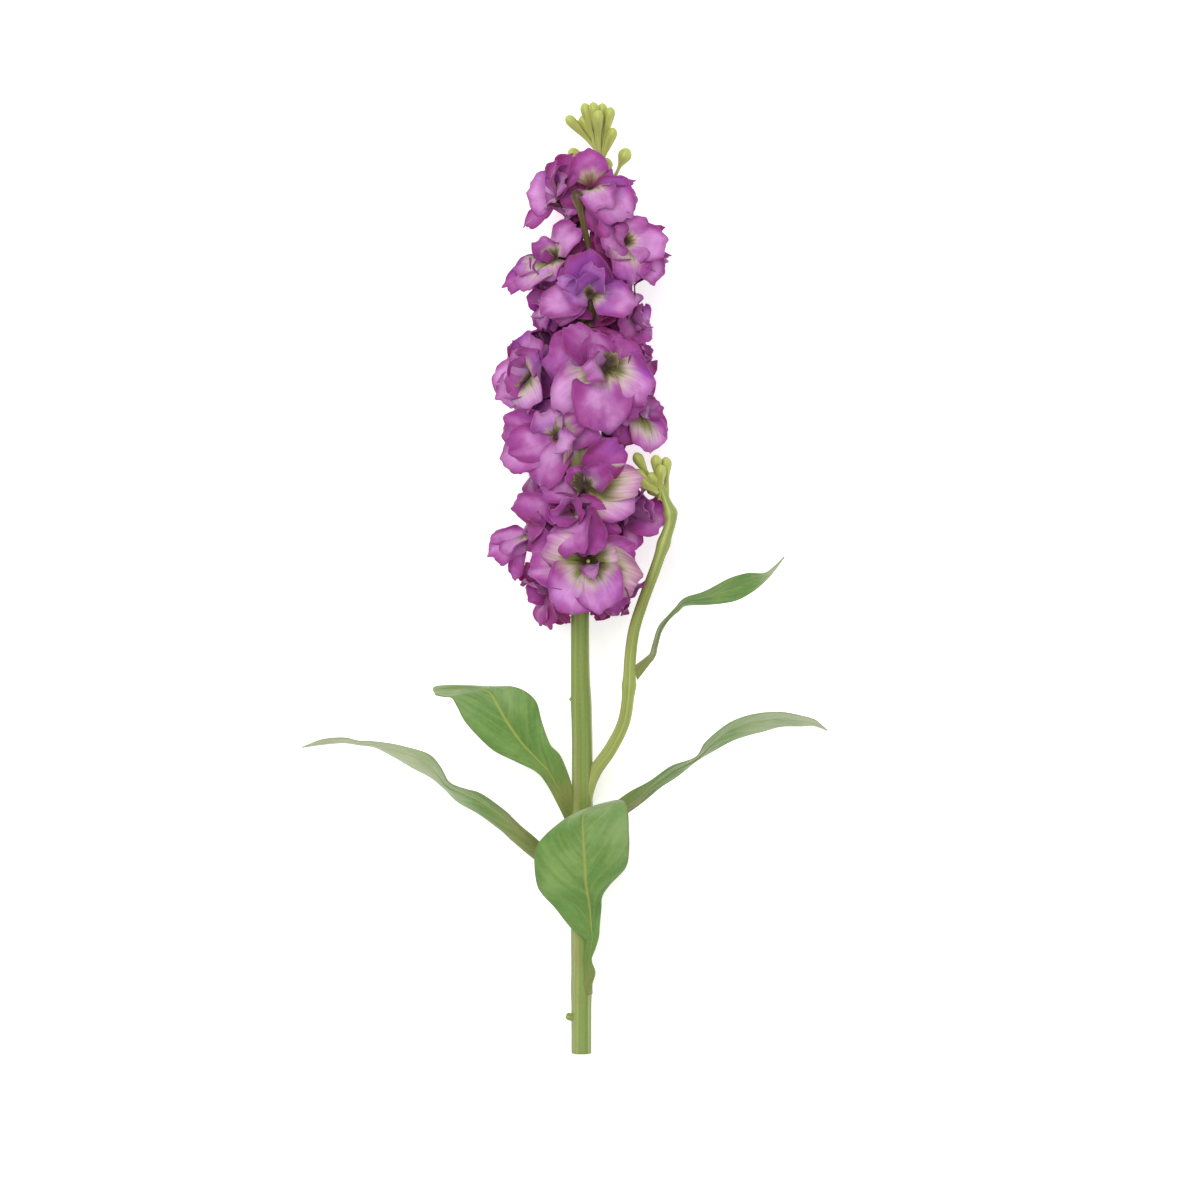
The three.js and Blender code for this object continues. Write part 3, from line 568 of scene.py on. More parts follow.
# y along the stem, azimuth round it (0 up from the table, 90 to the right), the throat's
# distance from the axis, an outer petal's length, the face's tilt to the tip, the ring's roll
floretRows = [
    (158, -6, 12, 20, 36, 20), (157, -68, 15, 19, 22, 40), (135, 44, 18, 20, 4, 0),
    (132, -54, 19, 21, 16, 15),
    (117, -4, 20, 22, 14, 30), (110, -76, 21, 20, -4, 50), (104, 68, 18, 19, 2, 10), (80.5, 5, 24, 26, 2, 35),
    (82, -64, 25, 21, 4, 0), (92, 92, 17, 17, 14, 60), (65, 64, 22, 20, -16, 20), (55, -38, 22, 24, 0, 10),
    (46, -98, 19, 19, 0, 30), (36.5, 9, 23, 23, 4, 55), (26, -28, 22, 16, 2, 10), (28, 70, 20, 20, -4, 0),
    (18, -76, 24, 20, -8, 45), (6.5, 8, 23, 25.5, -4, 12), (-4, -90, 14, 20, -14, 0),
    (-4, 92, 14, 19, -14, 30),
]
backFlorets = {"count": 11, "firstY": 9, "spacing": 13.6, "azimuths": (120, 238, 180), "out": (19, 19, 21.5)}
floretRows += [
    (backFlorets["firstY"] + backFlorets["spacing"] * i, backFlorets["azimuths"][i % 3],
     backFlorets["out"][i % 3], 20.5 - 0.2 * i, 6, 24 * i)
    for i in range(backFlorets["count"])
]

# where the throats of the florets that face up show in the picture
throatPlaces = {
    1: (591, 187), 2: (556, 196), 3: (626, 241), 4: (554, 257), 5: (590, 294), 6: (543, 302), 7: (634, 317),
    8: (604, 368), 9: (529, 374), 10: (634, 350), 11: (641, 410), 12: (555, 438), 13: (537, 464),
    14: (586, 486),
    15: (572, 511), 16: (630, 508), 17: (526, 531), 18: (588, 561), 19: (546, 590), 20: (615, 590),
}
turnToLight = 0.6  # such a floret's face turns this share of its azimuth away from straight up

rows = np.array(floretRows, float)
floretCount = len(rows)
floretY, floretOut, floretSize, floretRoll = rows[:, 0], rows[:, 2], rows[:, 3], rows[:, 5]
aroundStem, rise = rows[:, 1] * degree, rows[:, 4] * degree
outward = np.stack([np.sin(aroundStem), 0 * rise, np.cos(aroundStem)], axis=-1)
throat = stemAt(floretY) + outward * floretOut[:, None]
for number, place in throatPlaces.items():
    throat[number - 1] = onPicture(*place, throat[number - 1][2])
turned = aroundStem * np.where(np.arange(floretCount) < len(throatPlaces), turnToLight, 1.0)
facing = np.stack([np.sin(turned), 0 * rise, np.cos(turned)], axis=-1) * np.cos(rise)[:, None]
facing[:, 1] = np.sin(rise)
rank = np.cos(aroundStem)  # 1 for florets that face up from the table
floretDown = unit(facing * facing[:, 1:2] - np.array([0, 1, 0]))
floretRight = np.cross(facing, floretDown)

petals = {
    "claw": 0.17,  # the petal's root, as a share of its width
    "broad": 1.32,  # by which the widths of placed petals are multiplied
    "wall": 0.32,
    "steep": 20,  # degrees from the floret's axis as it leaves the throat
    "steps": 48,
    "grid": (21, 19),
    "rearGrid": (12, 11),
    "floor": 0.25,
    "sunk": 1.6,  # how far a petal starts below its throat
    "apart": 0.8,  # and how far from the floret's axis
    "ruffle": 0.085,  # a placed petal's waves and crease, as shares of its width
    "sweep": 0.022,
    "crease": 0.02,
    "rearLower": 2.5,  # by which the whorls behind placed petals sit lower
    "layer": 0.55,  # by which each placed petal's layer lies above the next
    "plainReach": 0.05,  # how far up a petal the throat's green reaches, where its row doesn't say
    "reachGain": ((55, 125), (1.27, 1.0)),  # y along the stem, and by what it is multiplied there
    "backReach": 0.3,  # the same for a floret with no placed petals
    "rearReach": 0.2,  # and for the petals behind
}
crowding = {"even": 0.56, "frontGains": 0.12, "give": 4.5, "lift": 0.3, "near": 8, "most": 12}
# the whorls of a floret in the round, from the outer one in, and the ones behind it; their tones fall inwards
# and behind as painted shade
whorls = {
    "front": (
        {"petals": 5, "size": 1.0, "spread": 80, "bendEnd": 0.62, "curl": 18, "cup": 0.1, "ruffle": 0.09,
         "turn": 0, "back": 0.0, "toneAndShading": 0.5},
        {"petals": 5, "size": 0.74, "spread": 52, "bendEnd": 0.6, "curl": 34, "cup": 0.2, "ruffle": 0.08,
         "turn": 20, "back": 0.0, "toneAndShading": 0.4},
        {"petals": 4, "size": 0.46, "spread": 26, "bendEnd": 0.6, "curl": 26, "cup": 0.3, "ruffle": 0.06,
         "turn": 50, "back": 0.0, "toneAndShading": 0.25},
    ),
    "rear": (
        {"petals": 6, "size": 0.72, "spread": 84, "bendEnd": 0.6, "curl": 14, "cup": 0.1, "ruffle": 0.05,
         "turn": 12, "back": 3.5, "toneAndShading": 0.25},
        {"petals": 6, "size": 0.74, "spread": 72, "bendEnd": 0.6, "curl": 24, "cup": 0.1, "ruffle": 0.06,
         "turn": 40, "back": 9.5, "toneAndShading": 0.1},
    ),
}
hangs = -0.4  # a petal of the outer whorls that points down by more than this stays below placed ones
hangsFrom = 50  # degrees round the stem from which a floret keeps those petals
headReach = {"y": (-14, 5, 80, 130, 158, 180), "reach": (24, 30, 31, 27, 20, 9)}  # the head's radius
# The head's outline without its loose lobes: a row of the picture, then its left and right edge.
headOutline = (
    (150, 556, 602), (165, 550, 616), (178, 538, 622), (190, 533, 628), (202, 536, 633), (212, 564, 632),
    (222, 566, 640), (230, 552, 656), (242, 548, 662), (254, 540, 664), (266, 524, 663), (276, 516, 654),
    (284, 526, 636), (296, 532, 637), (312, 540, 642), (326, 547, 646), (332, 524, 647), (342, 508, 648),
    (356, 502, 647), (380, 497, 650), (396, 497, 652), (408, 510, 652), (420, 506, 650), (434, 505, 638),
    (444, 505, 625), (456, 507, 622), (466, 520, 621), (476, 529, 625), (494, 531, 646), (504, 530, 652),
    (520, 527, 652), (532, 520, 636), (542, 538, 634), (560, 538, 637), (576, 526, 640), (590, 530, 632),
    (606, 534, 627), (620, 542, 616),
)
# degrees to either side of straight down in which a floret has no petals behind its placed ones
bareBelow = {1: 45, 4: 35, 5: 60}
outlineGive = {"from": 0.78, "upTo": 0.97, "rows": (157, 611), "give": 5.0}


# A petal that isn't placed stays inside the outline: past a share of the way to it, it nears it
# ever more slowly, and so it does past the first and last rows.
def tucked(points):
    u, v = inPicture(points)
    first, last = outlineGive["rows"]
    v = heldAt(v, last, outlineGive["give"])
    v = -heldAt(-v, -first, outlineGive["give"])
    edges = np.array(headOutline, float)
    middle = inPicture(stemAt(points[..., 1]))[0]
    left, right = (np.interp(v, edges[:, 0], edges[:, i]) for i in (1, 2))
    edge = np.where(u < middle, left, right)
    share = (u - middle) / (edge - middle)
    share = heldAt(share, outlineGive["from"], outlineGive["upTo"] - outlineGive["from"])
    return onPicture(middle + share * (edge - middle), v, points[..., 2])


# Where a petal would run into a neighbouring floret, it stops short and folds outwards.
def crowd(points, k):
    lift = np.zeros(points.shape[:-1])
    for other in range(floretCount):
        way = throat[other] - throat[k]
        distance = np.linalg.norm(way)
        if other == k or distance > floretSize[k] + floretSize[other] + crowding["near"]:
            continue
        way = way / distance
        limit = distance * (crowding["even"] + crowding["frontGains"] * (rank[k] - rank[other]))
        past = np.maximum(0, (points - throat[k]) @ way - limit)
        back = past - crowding["give"] * (1 - np.exp(-past / crowding["give"]))
        points = points - back[..., None] * way
        lift = lift + back
    return points + facing[k] * (crowding["lift"] * np.minimum(lift, crowding["most"]))[..., None]


# A petal's rim as a share of its length: an ellipse's arc, which falls by drop to its sides, with
# a shallow notch and small lobes.
def petalRim(v, phase, drop=0.72):
    lobes = 0.03 * np.sin(6.3 * v + 5 * phase) + 0.015 * np.sin(13 * v + 9 * phase)
    return 1 - drop * (1 - np.sqrt(1 - 0.98 * v * v)) - 0.04 * np.exp(-((v / 0.2) ** 2)) + lobes


# A petal is a fan. Along its middle line the angle from the floret's axis grows from steep to
# spread; across it, the reach falls off to the sides and the width opens from a narrow claw.
# Its edges are cupped by v^2 and waved by a sine across it that grows towards the rim.
def fanSheets(k, fans, grid):
    count = len(fans["turn"])
    col = {key: np.asarray(value, float).reshape(count, 1, 1) for key, value in fans.items()}
    u = np.linspace(0, 1, grid[0])[None, :, None]
    v = np.linspace(-1, 1, grid[1])[None, None, :]
    share = np.clip(u * petalRim(v, col["phase"]), 0, 1.04)
    t = (np.arange(petals["steps"] + 4) + 0.5) / petals["steps"]
    bend = smooth(t / col["bendEnd"][:, 0])
    angle = (mix(petals["steep"], col["spread"][:, 0], bend) + col["curl"][:, 0] * t**3) * degree
    start = np.zeros((count, 1))
    upPath = np.concatenate([start, np.cumsum(np.cos(angle), axis=1)], axis=1) / petals["steps"]
    outPath = np.concatenate([start, np.cumsum(np.sin(angle), axis=1)], axis=1) / petals["steps"]
    at = share * petals["steps"]
    i = np.minimum(at.astype(int), petals["steps"] + 2)
    part = at - i
    which = np.arange(count)[:, None, None]
    up = mix(upPath[which, i], upPath[which, i + 1], part)
    out = mix(outPath[which, i], outPath[which, i + 1], part)
    lean = angle[which, i]
    halfWidth = col["width"] / 2 * (petals["claw"] + (1 - petals["claw"]) * smooth(u / 0.7))
    wave = col["ruffle"] * u * u * np.sin(math.pi * col["waves"] * v + col["phase"])
    wave = wave + 0.35 * col["ruffle"] * u**4 * np.sin(math.pi * 2.7 * col["waves"] * v + 3 * col["phase"])
    fold = halfWidth * col["cup"] * v * v * u + wave
    turn = col["turn"] * degree
    away = floretDown[k] * np.cos(turn)[..., None] + floretRight[k] * np.sin(turn)[..., None]
    sideways = np.cross(facing[k], away)
    height = col["length"] * up - petals["sunk"] - col["back"] + fold * np.sin(lean)
    points = throat[k] + facing[k] * height[..., None]
    points = points + away * (col["length"] * out + petals["apart"] - fold * np.cos(lean))[..., None]
    return points + sideways * (v * halfWidth)[..., None]


def whorlFans(k, whorl):
    n = np.arange(whorl["petals"])
    seed = (k + 1) * 10 + whorl["turn"]
    length = floretSize[k] * whorl["size"] * (1 + 0.1 * sway(seed, n))
    return {
        "turn": floretRoll[k] + 360 * n / whorl["petals"] + whorl["turn"] + 7 * sway(seed, n + 20),
        "length": length,
        "width": length * 1.3 * (1 + 0.1 * sway(seed, n + 40)),
        "spread": whorl["spread"] + 8 * sway(seed, n + 60),
        "bendEnd": whorl["bendEnd"] + 0 * n,
        "curl": whorl["curl"] + 10 * sway(seed, n + 140),
        "cup": whorl["cup"] + 0.1 * sway(seed, n + 80),
        "ruffle": whorl["ruffle"] * floretSize[k] * (1 + 0.3 * sway(seed, n + 150)),
        "waves": 1.7 + 0.4 * sway(seed, n + 100),
        "phase": math.pi * (0.5 + 0.4 * sway(seed, n + 120)),
        "back": whorl["back"] + 0 * n,
    }


# Petals that show from above, each by the point of the picture that its rim reaches:
# u, v in the picture, height, width, how far its end bows over, cup, tone from -1 dark to 1 pale,
# which paints the petal's light and shade as well as its own tone, and how far up it the
# throat's green and cream reach, if they show; past 1 the whole petal is green and the painted
# shade of a throat's hollow
placedPetals = {
    1: ((586, 149, 43, 12, 2, 0.15, -0.05, 0.4), (613, 168, 40, 8, 2, 0.2, -0.1, 0.2),
        (636, 184, 44, 3.5, 1, 0.7, -0.4),
        (628, 223, 46, 15, 3, 0.15, 0.1, 0.3), (636, 206, 42, 11, 2, 0.1, 0.15),
        (606, 213, 49, 12, 2, 0.2, 0.15, 0.35),
        (566, 213, 40, 7, 2, 0.2, 0.1, 0.2), (597, 232, 42, 10, 2, 0.3, -0.6)),
    2: ((525.5, 187, 35, 15, 3, 0.1, 0.7, 0.35), (553, 173, 38, 9, 1, 0.4, -0.6),
        (574, 155, 40, 7.5, 1, 0.4, -0.8),
        (578, 172, 41, 9, 1, 0.3, -0.2, 0.2), (522, 226, 34, 8, 1, 0.15, -0.35),
        (548, 206, 38, 9, 2, 0.1, 0.2, 0.6),
        (569, 181, 43, 8, 1, 0.3, 0.3, 0.35), (560, 164, 42, 7, 4, 0.5, -0.8)),
    3: ((648, 219, 42, 12, 2, 0.2, 0.2, 0.35), (668, 246, 42, 12, 2, 0.1, 0.4, 0.3),
        (667, 226, 38, 4, -3, 0.9, -1.0),
        (674, 256, 36, 4, -1, 0.7, -0.5), (669, 266, 36, 10, 2, 0.2, 0.15), (661, 281, 39, 11, 3, 0.2, 0.2),
        (643, 262, 43, 11, 2, 0.2, 0.3, 0.4),
        (625, 284, 46, 15, 3, 0.1, 0.15, 0.4), (598, 216, 46, 11, 1, 0.2, -0.5),
        (600, 250, 47, 11, 0, 0.3, 0.1),
        (611, 232, 47, 7, 1, 0.4, -0.4)),
    4: ((581, 228, 46, 10, 2, 0.1, 0.3, 0.3), (534, 254, 40, 5, 0, 0.8, -0.8),
        (512, 271, 38.5, 7, 2, 0.3, 0.3, 0.3),
        (503, 289, 37, 7, 3, 0.3, 0.0), (519, 289, 40, 12, 3, 0.2, 0.35, 0.4),
        (545, 283, 43, 12, 2, 0.2, 0.3, 0.5),
        (538, 240, 43, 9, 1, 0.2, 0.1, 0.3)),
    5: ((582, 250, 52, 15, 2, 0.3, -0.85), (560, 268, 50, 9, 1, 0.4, -0.3),
        (557, 280, 53, 5, 0, 0.5, 0.9, 0.5),
        (600, 268, 58, 10, 2, 0.3, 0.3, 0.2), (636, 307, 51, 12, 3, 0.1, 0.5, 0.3),
        (539, 309, 50, 11.5, 3, 0.1, 0.3), (553, 320, 49.5, 8, 3, 0.1, 0.2),
        (564, 296, 54, 9, 1, 0.2, 0.5, 0.25), (624, 283, 48.5, 11, 2, 0.2, -0.6),
        (583, 276, 57, 9, 3, 0.5, -0.2, 0.25)),
    6: ((545, 330, 35, 11, 3, 0.2, -0.1), (558, 330, 36, 10, 2, 0.2, -0.4), (536, 303, 34, 6, 2, 0.3, -0.8),
        (526, 293, 33, 8, 2, 0.3, 0.0), (550, 312, 38, 9, 3, 0.3, 0.1)),
    7: ((651, 324, 36, 12, 3, 0.1, 0.5), (642, 303, 40, 4, 0, 0.8, -0.9), (632, 297, 44, 9, 2, 0.2, -0.3),
        (645, 344, 38, 12, 2, 0.1, -0.2), (618, 334, 44, 11, 2, 0.2, -0.3), (640, 322, 45, 8, 4, 0.4, 0.0)),
    8: ((565, 327, 57, 10, 1, 0.3, -0.1), (588, 334, 58, 11, 1, 0.3, -0.2, 0.3),
        (624, 336, 55, 11, 1, 0.3, -0.5, 0.4),
        (545, 350, 56, 20, 2, 0.08, -0.1), (556, 411, 56, 18, 3, 0.1, 0.7, 0.5),
        (600, 434, 56, 19, 3, 0.1, 0.0, 0.2),
        (651.5, 396, 55, 15.5, 3, 0.1, 0.2, 0.45), (645, 353, 54, 13, 2, 0.15, -0.8, 0.35),
        (632, 422, 53, 14, 3, 0.2, -0.4),
        (583, 376, 61, 9, 6, 0.4, 0.15), (591, 345, 60, 8, 3, 0.6, -0.1),
        # the last petal here is a dark sheet, painted shade in the throat's hollow
        (616, 437, 50, 9, 3, 0.2, -0.5), (613, 352, 58.5, 7, 1, 0.3, -0.8, 2.6)),
    9: ((534, 333, 45, 14, 2, 0.15, -0.05), (511, 341, 39, 5, 1, 0.5, -0.7), (489, 386, 37, 15, 3, 0.1, 0.5),
        (500, 404, 38, 11, 3, 0.2, 0.3), (538, 409, 48, 16, 3, 0.1, 0.45, 0.5),
        (514, 358, 43, 10, 1, 0.2, -0.3),
        (522, 414, 37, 8, 3, 0.3, -0.9), (543, 353, 48, 9, 3, 0.3, -0.4, 0.45),
        # a dark sheet, painted shade in the throat's hollow
        (521, 384, 47, 5, 1, 0.3, -0.7, 2.6)),
    10: ((650, 347, 34, 11, 3, 0.1, 0.2), (645, 377, 34, 11, 3, 0.1, -0.3), (642, 328, 36, 10, 2, 0.2, -0.1),
         (652, 398, 33, 8, 3, 0.2, -0.4), (640, 352, 38, 8, 4, 0.3, 0.0)),
    11: ((648, 453, 40, 13, 3, 0.1, 0.5, 0.5), (668, 433, 35, 6.5, 2, 0.2, -0.1),
         (666, 413, 37, 5.5, 1, 0.4, -0.3),
         (612, 438, 44, 12, 2, 0.2, -0.5), (636, 396, 44, 9, 2, 0.2, -0.3), (659, 401, 38, 8, 2, 0.2, -0.1),
         (658, 446, 37, 8, 2, 0.2, 0.1)),
    12: ((541, 411, 52, 10, 1, 0.2, 0.6, 0.3), (557, 408, 53, 8, 1, 0.3, 0.4, 0.45),
         (499, 425, 42, 14, 2, 0.2, 0.1),
         (499.5, 462, 43, 13, 3, 0.15, 0.45), (546, 489, 51, 15.5, 3, 0.1, -0.2),
         (602, 428, 56, 10, 1, 0.3, -0.1, 0.2),
         (575, 444, 60, 8, 0, 0.5, 0.5, 0.15), (506, 448, 46, 12, 2, 0.2, -0.1),
         (584, 421, 57, 9, 1, 0.4, -0.3, 0.4)),
    13: ((534, 497, 33, 9, 3, 0.2, -0.6), (520, 472, 30, 7, 3, 0.2, 0.0), (540, 500, 36, 9, 2, 0.2, -0.7)),
    14: ((587, 429, 52.5, 14, 2, 0.2, 0.0, 0.5), (619, 440, 56, 12, 2, 0.2, -0.45),
         (643, 480, 55, 11, 2, 0.2, 0.3, 0.5),
         (634, 512, 54, 15, 3, 0.15, 0.25, 0.35), (541, 493, 52, 8, 2, 0.3, 0.5, 0.2),
         (566, 472, 57, 9, 2, 0.4, -0.3, 0.2),
         # the last petal here is a dark sheet, painted shade in the throat's hollow
         (609, 468, 60, 9, 3, 0.5, -0.2, 0.15), (572, 479, 57.5, 5.5, 1, 0.3, -0.8, 3.2)),
    15: ((510, 506, 38, 9, 2, 0.15, -0.1), (557, 503, 55, 13, 3, 0.5, 0.15),
         (584, 504, 56, 12, 3, 0.5, -0.25), (543, 514, 50, 10, 2, 0.3, -0.3),
         (606, 511, 54, 10, 3, 0.4, -0.4), (559, 527, 55, 11, 3, 0.4, -0.5), (572, 497, 53, 10, 1, 0.4, -0.5),
         (579, 556, 58, 14, 2, 0.2, -0.1, 0.15), (604, 551, 57, 14, 2, 0.2, -0.25),
         (618, 540, 52, 9, 3, 0.2, -0.4)),
    16: ((662, 531, 39, 16, 3, 0.1, -0.25), (631, 553, 37, 7, 3, 0.2, 0.4), (655, 508, 42, 12, 2, 0.2, -0.1),
         (640, 490, 45, 10, 2, 0.2, 0.1), (645, 514, 46, 8, 4, 0.3, -0.2)),
    17: ((488, 541, 36, 5, 1, 0.6, 0.1), (491, 561, 35, 11, 3, 0.2, 0.6, 0.15),
         (513, 581, 33, 5.5, 3, 0.2, 0.0), (546, 519, 44, 10, 1, 0.3, -0.4),
         (552, 538, 44, 10, 2, 0.3, -0.65),
         (505, 554, 40, 7.5, 2, 0.3, 0.5, 0.35)),
    18: ((543, 544, 55, 13, 2, 0.1, 0.35, 0.5), (528, 566, 54, 15, 3, 0.1, 0.1, 0.35),
         (560, 612, 56, 18, 3, 0.1, 0.2, 0.35),
         (607, 611, 57, 16, 3, 0.15, 0.25, 0.38), (640, 585, 54, 15, 3, 0.15, 0.0, 0.5),
         (636, 548, 54, 13, 2, 0.15, 0.0, 0.55),
         (621, 613, 49, 10, 4, 0.3, -0.5), (636, 561, 46, 9, 2, 0.2, -0.2), (592, 579, 61, 6, 3, 0.6, 0.4)),
    19: ((541, 626, 31, 8, 3, 0.2, -0.1), (525.5, 597, 31, 9, 2, 0.3, -0.4), (530, 580, 35, 9, 2, 0.2, -0.1),
         (556, 626, 33, 10, 3, 0.2, -0.4), (567, 624, 30, 8, 3, 0.3, -1.0), (525, 563, 31, 7, 2, 0.2, -0.9)),
    20: ((594, 617, 33, 6, 3, 0.2, -0.5), (599, 617, 33, 9, 3, 0.2, 0.4), (627, 603, 36, 9, 3, 0.2, -0.2),
         (641, 585, 36, 8, 2, 0.2, 0.0),
         (622, 614, 34, 10, 3, 0.2, -0.3)),
}


# A placed petal has the same fan, on a middle line that leaves its throat between the floret's
# axis and the petal's own way and meets its rim from above: the cubic curve with those two ends
# and two handles. A crease runs up it, and it rolls a little to one side. The higher its rim
# among the floret's, the higher its layer.
def placedSheets(k, rows, grid):
    rows = np.array([row[:6] for row in rows], float)
    n = np.arange(len(rows))
    tip = onPicture(*rows[:, :3].T)
    width, bow, cup = (rows[:, i].reshape(-1, 1, 1) for i in (3, 4, 5))
    width = width * petals["broad"]
    phase, waves, roll, creaseAt = (
        (middle + spread * sway(k + seed, n)).reshape(-1, 1, 1)
        for middle, spread, seed in ((0.5 * math.pi, 0.4 * math.pi, 3), (1.6, 0.4, 7), (0, 0.35, 11),
                                     (0, 0.35, 17))
    )
    u = np.linspace(0, 1, grid[0])[None, :, None]
    v = np.linspace(-1, 1, grid[1])[None, None, :]
    start = throat[k] - petals["sunk"] * facing[k]
    chord = tip - start
    away = unit(chord - np.outer(chord @ facing[k], facing[k]))
    start = start + petals["apart"] * away
    long = np.linalg.norm(tip - start, axis=-1, keepdims=True)
    ahead = unit(tip - start)
    above = unit(facing[k] - ahead * (ahead @ facing[k])[:, None])
    leave = unit(0.75 * facing[k] + 0.5 * away)
    handles = [start, start + leave * 0.36 * long, tip + above * bow[:, 0] - ahead * 0.32 * long, tip]
    a, b, c, d = (h[:, None, None] for h in handles)
    drop = np.where(cup < 0.6, np.clip(0.62 * width / long[:, :, None], 0.34, 0.72), 0.72)
    s = (u * petalRim(v, phase, drop))[..., None]
    line = (1 - s) ** 3 * a + 3 * (1 - s) ** 2 * s * b + 3 * (1 - s) * s * s * c + s**3 * d
    run = (1 - s) ** 2 * (b - a) + 2 * (1 - s) * s * (c - b) + s * s * (d - c)
    sideways = np.cross(facing[k], away)[:, None, None]
    normal = unit(np.cross(run, sideways))
    halfWidth = width / 2 * (petals["claw"] + (1 - petals["claw"]) * smooth(u / 0.7))
    ruffle = petals["ruffle"] * width
    wave = ruffle * u**4 * np.sin(math.pi * waves * v + phase)
    wave = wave + 0.35 * ruffle * u**8 * np.sin(math.pi * 2.9 * waves * v + 3 * phase)
    wave = wave + (petals["sweep"] * width * np.sin(math.pi * (2.4 * u + 0.8 * v) + 2 * phase)
                   * smooth(u / 0.4))
    crease = petals["crease"] * width * u**1.5 * np.exp(-(((v - creaseAt) / 0.2) ** 2))
    fold = halfWidth * (cup * v * v * u + roll * v * u * u) + wave - crease
    layer = np.argsort(np.argsort(rows[:, 2], kind="stable")) - (len(rows) - 1) / 2
    raised = petals["layer"] * layer.reshape(-1, 1, 1) * smooth(u / 0.3)
    points = line + sideways * (v * halfWidth)[..., None] + normal * fold[..., None]
    return points + facing[k] * raised[..., None]


def someFans(fans, keep):
    return {key: value[keep] for key, value in fans.items()}


# Whorls of a floret as sheets, with their tones, which carry painted shade. Below placed petals only those
# stay that hang.
def whorlSheets(k, group, grid, onlyHanging):
    bare = math.cos(bareBelow.get(k + 1, 0) * degree)
    sheets, tonesAndShading = [], []
    for level, whorl in enumerate(whorls[group]):
        fans = whorlFans(k, whorl)
        turn = fans["turn"] * degree
        upwards = floretDown[k][2] * np.cos(turn) + floretRight[k][2] * np.sin(turn)
        if group == "rear" and k + 1 in placedPetals:
            fans["back"] = fans["back"] + petals["rearLower"]
        if bare < 1:
            fans = someFans(fans, np.cos(turn) < bare)
            upwards = upwards[np.cos(turn) < bare]
        if onlyHanging:
            fans["length"] = fans["length"] * 0.85
            fans = someFans(fans, (upwards < hangs) & (level < 2) & (abs(rows[k, 1]) > hangsFrom))
        if len(fans["turn"]):
            sheets.append(fanSheets(k, fans, grid))
            tonesAndShading.append(whorl["toneAndShading"] + 0.35 * sway(k + 31 * level, np.arange(len(fans["turn"]))))
    return sheets, tonesAndShading


# Painted shade deep in the head: 1 near the stem, falling to 0 towards the head's outline
def depthShadeMark(points):
    y = points[..., 1]
    reach = np.interp(y, headReach["y"], headReach["reach"])
    away = np.linalg.norm((points - stemAt(y))[..., [0, 2]], axis=-1)
    return smooth((0.85 - away / reach) / 0.5)


def makePetals(name, points, tonesAndShading, reach, node):
    points[..., 2] = np.maximum(points[..., 2], petals["floor"])
    tonesAndShading, reach = np.concatenate(tonesAndShading)[:, None, None], np.concatenate(reach)[:, None, None]
    marks = {"toneAndShading": tonesAndShading, "reach": reach, "depthShade": depthShadeMark(points)}
    piece = addSheets(name, points, petalInside, marks)
    piece.data.materials.append(petalOutside)
    thicken(piece, petals["wall"], 0.0)
    return finishPiece(piece, "petal_purple", node)


def makeFloret(k):
    number = k + 1
    name = f"floret_{number:02d}"
    placed = placedPetals.get(number)
    usual = petals["plainReach" if placed else "backReach"]
    sheets, tonesAndShading = whorlSheets(k, "front", petals["grid"], bool(placed))
    reach = [np.full(len(t), usual) for t in tonesAndShading]
    if sheets:
        sheets = [tucked(crowd(np.concatenate(sheets), k))]
    if placed:
        sheets.append(placedSheets(k, placed, petals["grid"]))
        # a placed petal's tone paints its light and shade as well as its own tone
        tonesAndShading.append(0.5 + 0.45 * np.array([row[6] for row in placed]))
        own = np.array([row[7] if len(row) > 7 else usual for row in placed])
        own = np.where(own < 1, own * np.interp(throat[k][1], *petals["reachGain"]), own)
        reach.append(own * (1 + 0.35 * sway(k + 23, np.arange(len(placed)))))
    makePetals(name + "_petals", np.concatenate(sheets), tonesAndShading, reach, name)
    sheets, tonesAndShading = whorlSheets(k, "rear", petals["rearGrid"], False)
    reach = [np.full(len(t), petals["rearReach"]) for t in tonesAndShading]
    makePetals(name + "_rear_petals", tucked(crowd(np.concatenate(sheets), k)), tonesAndShading, reach, name)


for k in range(floretCount):
    makeFloret(k)
print("florets:", floretCount)


# Pistils: a short green club in the middle of each throat, from floret openFrom on.
pistil = {"reach": 4.2, "radius": 0.75, "rows": 14, "openFrom": 18}


def makePistils():
    opened = slice(pistil["openFrom"] - 1, None)
    shares = np.linspace(0, 1, pistil["rows"])
    start = (throat - 1.5 * facing)[opened]
    centres = start[:, None] + facing[opened][:, None] * (shares * pistil["reach"])[:, None]
    profile = pistil["radius"] * np.interp(shares, [0, 0.5, 0.75, 0.9, 1.0], [0.7, 0.75, 1.1, 1.05, 0.6])
    rings = tubeRings(centres, np.broadcast_to(profile, centres.shape[:2]), 12, floretDown[opened])
    behind = slice(len(throatPlaces) + 1 - pistil["openFrom"], None)
    rings[behind] = tucked(rings[behind])
    return addSheets("pistils", rings, budGreen, wrap=True, close=True)


finishPiece(makePistils(), "bud_green", "stem")


# Stalks and calyces: a thin stalk leaves the stem and swells into four sepals round the claws.
calyx = {"mouth": 2.9, "share": 0.36, "sepals": 4, "columns": 24, "rows": 26, "floor": 0.3}


